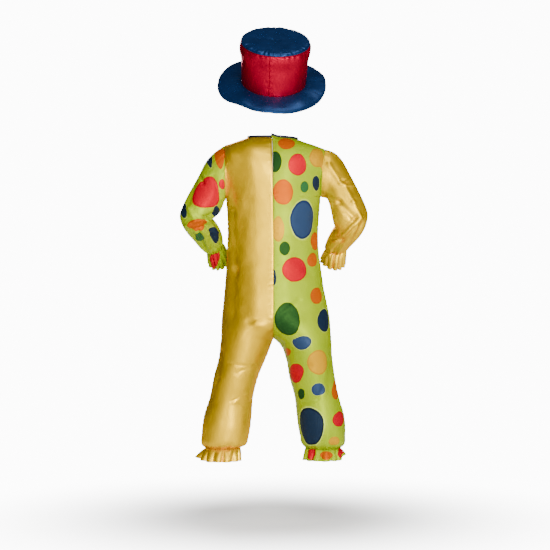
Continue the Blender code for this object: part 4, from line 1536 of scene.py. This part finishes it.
YELLOW = Satin("yellow_satin", (0.77, 0.475, 0.0), (0.70, 0.41, 0.0), "yellow_satin",
               roughness=0.40, metallic=0.8, shine=(1.0, 0.5, 0.05), crumple=0.16)
SPOTTED = Satin("spotted_satin", (0.28, 0.38, 0.0), (0.20, 0.30, 0.0), "spotted_satin",
                roughness=0.42, specular=0.06, shine=(1.0, 0.95, 0.1), crumple=0.14)
RED = Satin("red_satin", (0.42, 0.0, 0.024), (0.20, 0.0, 0.012), "red_satin",
            metallic=0.8, specular=0.2, shine=(1.0, 0.3, 0.4), crumple=0.2, weave=0.05)
BLUE = Satin("blue_satin", (0.004, 0.022, 0.088), (0.002, 0.012, 0.052), "blue_satin",
             roughness=0.30, metallic=0.5, specular=0.4, shine=(0.4, 0.7, 1.0),
             crumple=0.24, weave=0.05)
NAVY = Satin("navy_binding", (0.006, 0.008, 0.026), (0.004, 0.006, 0.018), "navy_binding",
             roughness=0.5, metallic=0.0, specular=0.16)
PALE = Satin("pale_tape", (0.50, 0.47, 0.36), (0.44, 0.40, 0.30), "pale_tape",
             roughness=0.85, metallic=0.0, specular=0.2, sheen=0.05, crumple=0.8)


@dataclass(frozen=True)
class Stitches:
    """Row of sewing stitches along a closed line, made with Geometry Nodes.

    Attributes:
        spacing: Distance from one stitch to the next, in metres.
        length: Length of a stitch.
        uneven: Shortest and longest stitch, as shares of that length.
        thread: Thickness of the thread.
        seed: Start of the random choice of their lengths.
    """

    spacing: float = 0.0034
    length: float = 0.0025
    uneven: tuple = (0.8, 1.1)
    thread: float = 0.0006
    seed: int = 7

    def tree(self, material: bpy.types.Material) -> bpy.types.NodeTree:
        """Builds the tree: stitches set along the path, each a small rounded thread."""
        tree = bpy.data.node_groups.new("stitches", "GeometryNodeTree")
        kinds = {"Path": "Geometry", "Spacing": "Float", "Length": "Float",
                 "Thread": "Float", "Seed": "Int"}
        for name, kind in kinds.items():
            tree.interface.new_socket(name, in_out="INPUT", socket_type=f"NodeSocket{kind}")
        tree.interface.new_socket("Geometry", in_out="OUTPUT", socket_type="NodeSocketGeometry")
        given = tree.nodes.new("NodeGroupInput").outputs

        def node(kind: str, inputs: Optional[dict] = None,
                 **settings: object) -> bpy.types.NodeSocket:
            """Adds a node and gives its first output."""
            return add_node(tree, kind, inputs, **settings).outputs[0]

        line = node("GeometryNodeMeshToCurve", {"Mesh": given["Path"]})
        points = node("GeometryNodeResampleCurve", {"Curve": line, "Length": given["Spacing"]},
                      mode="LENGTH")
        turned = node("FunctionNodeAlignRotationToVector",
                      {"Vector": node("GeometryNodeInputTangent")}, axis="X")
        chance = add_node(tree, "FunctionNodeRandomValue", data_type="FLOAT")
        low, high = [s for s in chance.inputs if s.enabled and s.name in ("Min", "Max")]
        low.default_value, high.default_value = self.uneven
        feed(tree, next(s for s in chance.inputs if s.name == "Seed"), given["Seed"])
        share = next(s for s in chance.outputs if s.enabled)
        long = node("ShaderNodeMath", {0: given["Length"], 1: share}, operation="MULTIPLY")
        size = node("ShaderNodeCombineXYZ", {"X": long, "Y": given["Thread"],
                                             "Z": given["Thread"]})
        bead = node("GeometryNodeMeshUVSphere", {"Segments": 6, "Rings": 4, "Radius": 0.5})
        sewn = node("GeometryNodeInstanceOnPoints", {
            "Points": points, "Instance": bead, "Rotation": turned, "Scale": size})
        sewn = node("GeometryNodeRealizeInstances", {"Geometry": sewn})
        sewn = node("GeometryNodeSetShadeSmooth", {"Geometry": sewn})
        sewn = node("GeometryNodeSetMaterial", {"Geometry": sewn, "Material": material})
        add_node(tree, "NodeGroupOutput", {0: sewn})
        return tree

    def along(self, name: str, ring: Array, material: bpy.types.Material) -> bpy.types.Object:
        """Sews a closed ring of points, in millimetres, and makes a plain mesh of it."""
        mesh = bpy.data.meshes.new(name)
        edges = [(i, (i + 1) % len(ring)) for i in range(len(ring))]
        mesh.from_pydata((ring * MM).tolist(), edges, [])
        piece = placed(name, mesh)
        modifier = piece.modifiers.new("stitches", "NODES")
        modifier.node_group = self.tree(material)
        for socket in modifier.node_group.interface.items_tree:
            value = getattr(self, socket.name.lower(), None)
            if socket.in_out == "INPUT" and value is not None:
                modifier[socket.identifier] = value
        evaluated = piece.evaluated_get(bpy.context.evaluated_depsgraph_get())
        sewn = bpy.data.meshes.new_from_object(evaluated)
        piece.modifiers.clear()
        piece.data = sewn
        return piece


def quads(rows: int, columns: int, wraps: bool) -> Array:
    """Corner indices of a grid's quads, row by row."""
    i, k = np.meshgrid(np.arange(rows - 1), np.arange(columns if wraps else columns - 1),
                       indexing="ij")
    right = (k + 1) % columns
    return np.stack([i * columns + k, i * columns + right, (i + 1) * columns + right,
                     (i + 1) * columns + k], axis=2).reshape(-1, 4)


class Maker:
    """Makes mesh objects of the worked-out points, in metres."""

    @staticmethod
    def border(rows: int, columns: int, wraps: bool) -> Array:
        """Pairs of neighbouring points round a grid's open edges."""
        count = rows * columns
        if wraps:
            ring = np.arange(columns)
            following = (ring + 1) % columns
            last = count - columns
            return np.concatenate([np.stack([ring, following], 1),
                                   np.stack([last + following, last + ring], 1)])
        rim = np.concatenate([np.arange(columns), np.arange(2, rows) * columns - 1,
                              count - 1 - np.arange(columns),
                              (rows - 1 - np.arange(1, rows - 1)) * columns])
        return np.stack([rim, np.roll(rim, -1)], axis=1)

    @staticmethod
    def build(name: str, points: Array, faces: Array, corners: Array,
              material: bpy.types.Material, matrix: Optional[Matrix] = None,
              caps: Sequence = ()) -> bpy.types.Object:
        """Makes one smooth object with its UV map.

        Args:
            name: Name of the object.
            points: Points in millimetres.
            faces: Corner indices of the quads.
            corners: UV of each quad corner, in millimetres.
            material: Its material.
            matrix: Where it is placed, applied to its points.
            caps: Extra faces.

        Returns:
            The object, at the origin.
        """
        mesh = bpy.data.meshes.new(name)
        mesh.from_pydata((points * MM).tolist(), [], faces.tolist() + [list(c) for c in caps])
        if matrix is not None:
            mesh.transform(matrix)
        flat = (corners * MM).reshape(-1, 2)
        flat = np.concatenate([flat, np.zeros((len(mesh.loops) - len(flat), 2))])
        layer = mesh.uv_layers.new(name="cloth")
        layer.data.foreach_set("uv", flat.astype(np.float32).ravel())
        mesh.shade_smooth()
        mesh.materials.append(material)
        mesh.validate()
        return placed(name, mesh)

    @classmethod
    def cloth(cls, name: str, shell: Shell, material: bpy.types.Material,
              matrix: Optional[Matrix] = None) -> bpy.types.Object:
        """Makes a thin closed wall of cloth on a shell."""
        rows, columns = shell.outer.shape[:2]
        count = rows * columns
        outer, outward = shell.outer.reshape(-1, 3), shell.outward.reshape(-1, 3)
        points = np.concatenate([outer, outer - CLOTH * outward])
        front = quads(rows, columns, shell.wraps)
        edge = cls.border(rows, columns, shell.wraps)
        rim = np.stack([edge[:, 1], edge[:, 0], edge[:, 0] + count, edge[:, 1] + count], axis=1)
        front_uv = shell.uv.reshape(-1, 2)[quads(rows, shell.uv.shape[1], False)]
        rim_uv = shell.uv[:, :columns].reshape(-1, 2)[rim % count]
        faces = np.concatenate([front, front[:, ::-1] + count, rim])
        corners = np.concatenate([front_uv, front_uv[:, ::-1], rim_uv])
        corner, right, _, below = front[len(front) // 2]
        facing = np.cross(outer[right] - outer[corner], outer[below] - outer[corner])
        if facing @ outward[corner] <= 0:
            faces, corners = faces[:, ::-1], corners[:, ::-1]
        return cls.build(name, points, faces, corners, material, matrix)

    @classmethod
    def loft(cls, name: str, rings: Array, material: bpy.types.Material, closed: bool,
             matrix: Optional[Matrix] = None) -> bpy.types.Object:
        """Makes a solid through rings of points, capped where it isn't closed."""
        rows, columns = rings.shape[:2]
        last = (rows - 1) * columns
        faces = quads(rows, columns, True)
        run = arc_along(rings, 0).mean(axis=1)
        caps = [range(columns)[::-1], range(last, rows * columns)]
        if closed:
            ring = np.arange(columns)
            following = (ring + 1) % columns
            joint = np.stack([last + ring, last + following, following, ring], axis=1)
            faces = np.concatenate([faces, joint])
            run = np.append(run, run[-1] + 3.0)
            caps = []
        across = arc_along(np.concatenate([rings, rings[:, :1]], axis=1), 1).mean(axis=0)
        uv = np.stack(np.meshgrid(across, run), axis=2)
        corners = uv.reshape(-1, 2)[quads(len(run), columns + 1, False)]
        piece = cls.build(name, rings.reshape(-1, 3), faces, corners, material, matrix, caps)
        cls.face_out(piece)
        return piece

    @staticmethod
    def face_out(piece: bpy.types.Object) -> None:
        """Turns a closed mesh so that its faces point out of it."""
        piece.data.calc_loop_triangles()
        corners = [[piece.data.vertices[i].co for i in triangle.vertices]
                   for triangle in piece.data.loop_triangles]
        if sum(a.dot(b.cross(c)) for a, b, c in corners) < 0:
            piece.data.flip_normals()


# Pixel column and row, half width and half height in pixels, and turn in degrees
SPOTS = {
    "back_right": seen(1, {
        Ink.ORANGE: ((286.3, 145, 8.5, 6), (283.1, 194.1, 10, 12.5), (314.8, 241.5, 4, 9),
                     (312.1, 260, 4.5, 7), (316.1, 295.5, 6, 7.8), (287.3, 351.1, 3, 4),
                     (335.6, 388.9, 3, 10)),
        Ink.GREEN: ((275.1, 163.8, 6, 10.5), (284.6, 249, 5, 7), (322.5, 276.8, 3.2, 7),
                    (287.1, 319.2, 12.5, 17), (300.7, 392.7, 3.3, 5)),
        Ink.RED: ((297.1, 166.9, 9, 11), (321.5, 216.4, 3.2, 6), (294.5, 269.8, 12.3, 11.9),
                  (295.4, 372.6, 7, 10), (338.9, 417.6, 5.8, 7.5)),
        Ink.AMBER: ((317.9, 158.4, 8, 10), (278.2, 229.8, 6, 12.5),
                    (317.9, 361.1, 10.5, 12), (333.7, 439.1, 5.5, 4.5)),
        Ink.NAVY: ((315.7, 184.3, 3.7, 7.3), (273.6, 277.7, 3, 8), (323.7, 320.1, 6, 11.3),
                   (309.3, 425.2, 12.5, 19, -5)),
        Ink.TEAL: ((303.9, 188.6, 3.8, 5.7),),
        Ink.BLUE: ((302.5, 220.7, 11.8, 19, 4), (301.1, 340.6, 10, 7.5, -14),
                   (317.9, 387.9, 7, 6.3)),
    }),
    "front_right": seen(-1, {
        Ink.RED: ((291, 167, 8, 10), (306, 238, 5, 6), (287, 309, 12, 14),
                  (311, 394, 11, 12)),
        Ink.BLUE: ((315, 172, 7, 9), (318, 271, 5, 8), (318, 355, 10, 12, 8),
                   (306, 424, 5, 8)),
        Ink.AMBER: ((279, 190, 6, 8), (296, 260, 11, 12), (296, 370, 5, 8)),
        Ink.ORANGE: ((302, 199, 11, 13), (279, 276, 4, 7), (317, 318, 9, 14),
                     (327, 414, 6, 7)),
        Ink.GREEN: ((318, 222, 5, 9), (304, 290, 7, 8), (333, 384, 4, 8)),
        Ink.NAVY: ((284, 227, 10, 17, -5), (326, 437, 8, 7)),
        Ink.TEAL: ((298, 340, 6, 7),),
    }),
    "left_sleeve": seen(1, {
        Ink.ORANGE: ((220.3, 157.7, 5, 11), (198.8, 226.1, 10, 5, -12)),
        Ink.NAVY: ((209.3, 159.7, 3, 6), (183.5, 209.4, 3, 8.5), (216.5, 213.2, 5, 5),
                   (215, 234.8, 6, 7)),
        Ink.RED: ((223.2, 185.5, 3.5, 5), (209.3, 194.1, 14.5, 16)),
        Ink.TEAL: ((199.7, 238.1, 4.5, 4),),
    }) + seen(-1, {
        Ink.BLUE: ((214, 163, 8, 9),),
        Ink.AMBER: ((222, 188, 5, 8),),
        Ink.RED: ((203, 186, 7, 10),),
        Ink.ORANGE: ((196, 210, 9, 9),),
        Ink.GREEN: ((212, 217, 6, 7),),
        Ink.NAVY: ((203, 236, 7, 6),),
    }),
    "left_cuff_frill": seen(1, {
        Ink.RED: ((213.6, 260.1, 4, 7),),
    }) + seen(-1, {
        Ink.ORANGE: ((219, 258, 4, 5),),
    }),
    "right_ankle_frill": seen(1, {
        Ink.RED: ((311, 452, 6.5, 6), (341.5, 449, 4, 4.5)),
        Ink.ORANGE: ((326, 453.6, 7, 4),),
    }) + seen(-1, {
        Ink.AMBER: ((314, 454, 5, 4),),
        Ink.RED: ((331, 453, 6, 5),),
    }),
}


@dataclass(frozen=True)
class Softbox:
    """Large soft light that faces the costume: its place, size and strength in watts."""

    name: str
    place: tuple
    size: tuple
    watts: float
    colour: tuple = (1, 1, 1)


DAYLIGHT = (1, 0.98, 0.95)
LIGHTS = (
    Softbox("key", (-1.1, 3.3, -0.1), (1.2, 2.0), 185.0, DAYLIGHT),
    Softbox("second", (1.1, 3.3, 0.1), (0.6, 1.8), 42.0, DAYLIGHT),
    Softbox("high", (-0.3, 2.4, 2.2), (2.0, 1.0), 50.0),
    Softbox("fill", (2.3, 2.2, 0.1), (0.7, 1.6), 3.0),
    Softbox("edge", (-2.6, 1.6, -0.1), (0.8, 1.6), 16.0),
    Softbox("top", (-0.4, 0.4, 2.4), (1.2, 1.2), 22.0),
    Softbox("front", (0.6, -3.4, 0.6), (1.3, 1.6), 110.0),
)


@dataclass(frozen=True)
class Studio:
    """Camera, lights and the plain floor that the photograph's view needs.

    Attributes:
        middle: Point that the camera looks at, in metres.
        distance: How far the camera stands from it.
        view_height: How much the picture takes in there.
        floor: Height of the floor.
        reach: How far the floor goes each way.
    """

    middle: Vector = field(default_factory=lambda: Vector((-0.0037, 0.0, -0.340)))
    distance: float = 4.0
    view_height: float = 1.353
    floor: float = -0.935
    reach: float = 9.0

    def camera(self) -> None:
        """Places the camera behind the wearer's place, level with the hips."""
        data = bpy.data.cameras.new("camera")
        data.lens = data.sensor_width * self.distance / self.view_height
        camera = placed("camera", data)
        camera.location = self.middle + Vector((0, self.distance, 0))
        camera.rotation_euler = (math.pi / 2, 0, math.pi)
        bpy.context.scene.camera = camera

    def lights(self) -> None:
        """Soft frontal light from the camera's side, weaker from the others."""
        for box in LIGHTS:
            data = bpy.data.lights.new(box.name, "AREA")
            data.shape = "RECTANGLE"
            data.size, data.size_y = box.size
            data.energy = box.watts
            data.color = box.colour
            light = placed(box.name, data)
            light.location = box.place
            away = Vector(box.place) - self.middle
            light.rotation_euler = away.to_track_quat("Z", "Y").to_euler()

    def world(self) -> None:
        """White to the camera, soft grey as light."""
        world = bpy.data.worlds.new("world")
        world.use_nodes = True
        bpy.context.scene.world = world
        tree = world.node_tree
        white = tree.nodes["Background"]
        white.inputs["Color"].default_value = (1, 1, 1, 1)
        white.inputs["Strength"].default_value = WHITE
        grey = add_node(tree, "ShaderNodeBackground", {"Color": (0.9, 0.95, 1, 1),
                                                       "Strength": 0.07})
        path = add_node(tree, "ShaderNodeLightPath")
        mix = add_node(tree, "ShaderNodeMixShader", {
            0: path.outputs["Is Camera Ray"], 1: grey.outputs[0], 2: white.outputs[0]})
        feed(tree, tree.nodes["World Output"].inputs["Surface"], mix.outputs[0])

    def ground(self) -> None:
        """Adds the floor, which fades into plain white away from the costume."""
        canvas = Canvas("floor")
        canvas.dress(Base_Color=(0.95, 0.95, 0.95, 1), Roughness=0.7)
        glow = canvas.node("ShaderNodeEmission", {"Color": (1, 1, 1, 1), "Strength": WHITE})
        fade = canvas.length(canvas.scaled(canvas.here(), (1, 1, 0))).ramp(0.15, 0.9)
        share = fade * canvas.value("ShaderNodeLightPath", {}, "Is Camera Ray")
        mix = canvas.node("ShaderNodeMixShader", {
            0: share, 1: canvas.shader.outputs[0], 2: glow.outputs[0]})
        feed(canvas.tree, canvas.tree.nodes["Material Output"].inputs["Surface"],
             mix.outputs[0])
        mesh = bpy.data.meshes.new("floor")
        corners = ((-1, -1), (1, -1), (1, 1), (-1, 1))
        mesh.from_pydata([(self.reach * x, self.reach * y, self.floor) for x, y in corners],
                         [], [(0, 1, 2, 3)])
        mesh.materials.append(canvas.material)
        placed("floor", mesh)


class Costume:
    """Builds every piece, ties it to the frame's body and hides the node it stands for."""

    @staticmethod
    def settle(piece: bpy.types.Object, node: str, finish: Satin) -> bpy.types.Object:
        """Makes a piece stand for a node of the frame."""
        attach(piece, BODY)
        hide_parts(node)
        LOG.info("%s: %d faces", node, len(piece.data.polygons))
        return piece

    def sheet(self, node: str, shell: Shell, finish: Satin,
              matrix: Optional[Matrix] = None) -> None:
        """Makes one piece of cloth, and the sewn hem of a frill.

        Args:
            node: Node of the frame that it stands for.
            shell: Its outer points.
            finish: Its satin.
            matrix: Where it is placed.
        """
        material = finish.paint(node, shell, SPOTS.get(node, ()))
        piece = Maker.cloth(f"{node}_cloth", shell, material, matrix)
        self.settle(piece, node, finish)
        hemmed = node.endswith("frill")
        sewn = [self.hem(node, shell, finish)] if hemmed else []

    @staticmethod
    def hem(node: str, shell: Shell, finish: Satin) -> bpy.types.Object:
        """Sews the narrow hem of a frill, on its outer side."""
        row = round(HEM_LINE * (len(shell.outer) - 1))
        ring = shell.outer[row] + HEM_RAISE * shell.outward[row]
        thread = Canvas(f"{node}_thread").dress(
            Base_Color=(*finish.deep, 1.0), Roughness=0.55, Specular_IOR_Level=0.2)
        piece = Stitches().along(f"{node}_stitches", ring, thread)
        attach(piece, BODY)
        return piece

    def body(self) -> None:
        """Back and front panels, and the frills and sleeves of both sides."""
        finishes = {Side.LEFT: (YELLOW, SPOTTED), Side.RIGHT: (SPOTTED, YELLOW)}
        sleeves = {Side.LEFT: Sleeve(Side.LEFT, head_gathers=1.3, crumpled=1.7),
                   Side.RIGHT: Sleeve(Side.RIGHT, head_gathers=0.25, crumpled=1.0)}
        for side, (leg, arm) in finishes.items():
            for face in Face:
                self.sheet(f"{face.word}_{side.word}", BodyPanel(side, face).shell(), leg)
            self.sheet(f"{side.word}_sleeve", sleeves[side].shell(), arm)
            self.sheet(f"{side.word}_cuff_frill", Frill(side, False).shell(), arm)
            self.sheet(f"{side.word}_ankle_frill", Frill(side, True).shell(), leg)

    def trims(self) -> None:
        """Neck binding, and the tape behind the slit."""
        piece = Maker.loft("neck_binding_cloth", Binding().grid(), NAVY.paint("binding"), False)
        self.settle(piece, "neck_binding", NAVY)
        piece = Maker.loft("closure_tape_cloth", Tape().grid(), PALE.paint("tape"), False)
        self.settle(piece, "closure_tape", PALE)

    def hat(self) -> None:
        """Top hat: its crown wall, padded top and padded brim."""
        hat = TopHat()
        matrix = hat.matrix()
        self.sheet("hat_crown_side", hat.crown(), RED, matrix)
        piece = Maker.loft("hat_crown_top_cloth", hat.disc(), BLUE.paint("top"), False, matrix)
        self.settle(piece, "hat_crown_top", BLUE)
        piece = Maker.loft("hat_brim_cloth", hat.brim_rings(), BLUE.paint("brim"), True, matrix)
        self.settle(piece, "hat_brim", BLUE)


def main() -> None:
    """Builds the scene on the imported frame."""
    logging.basicConfig(level=logging.INFO)
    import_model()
    studio = Studio()
    studio.camera()
    studio.world()
    studio.lights()
    studio.ground()
    costume = Costume()
    costume.body()
    costume.trims()
    costume.hat()


if __name__ == "__main__":
    main()
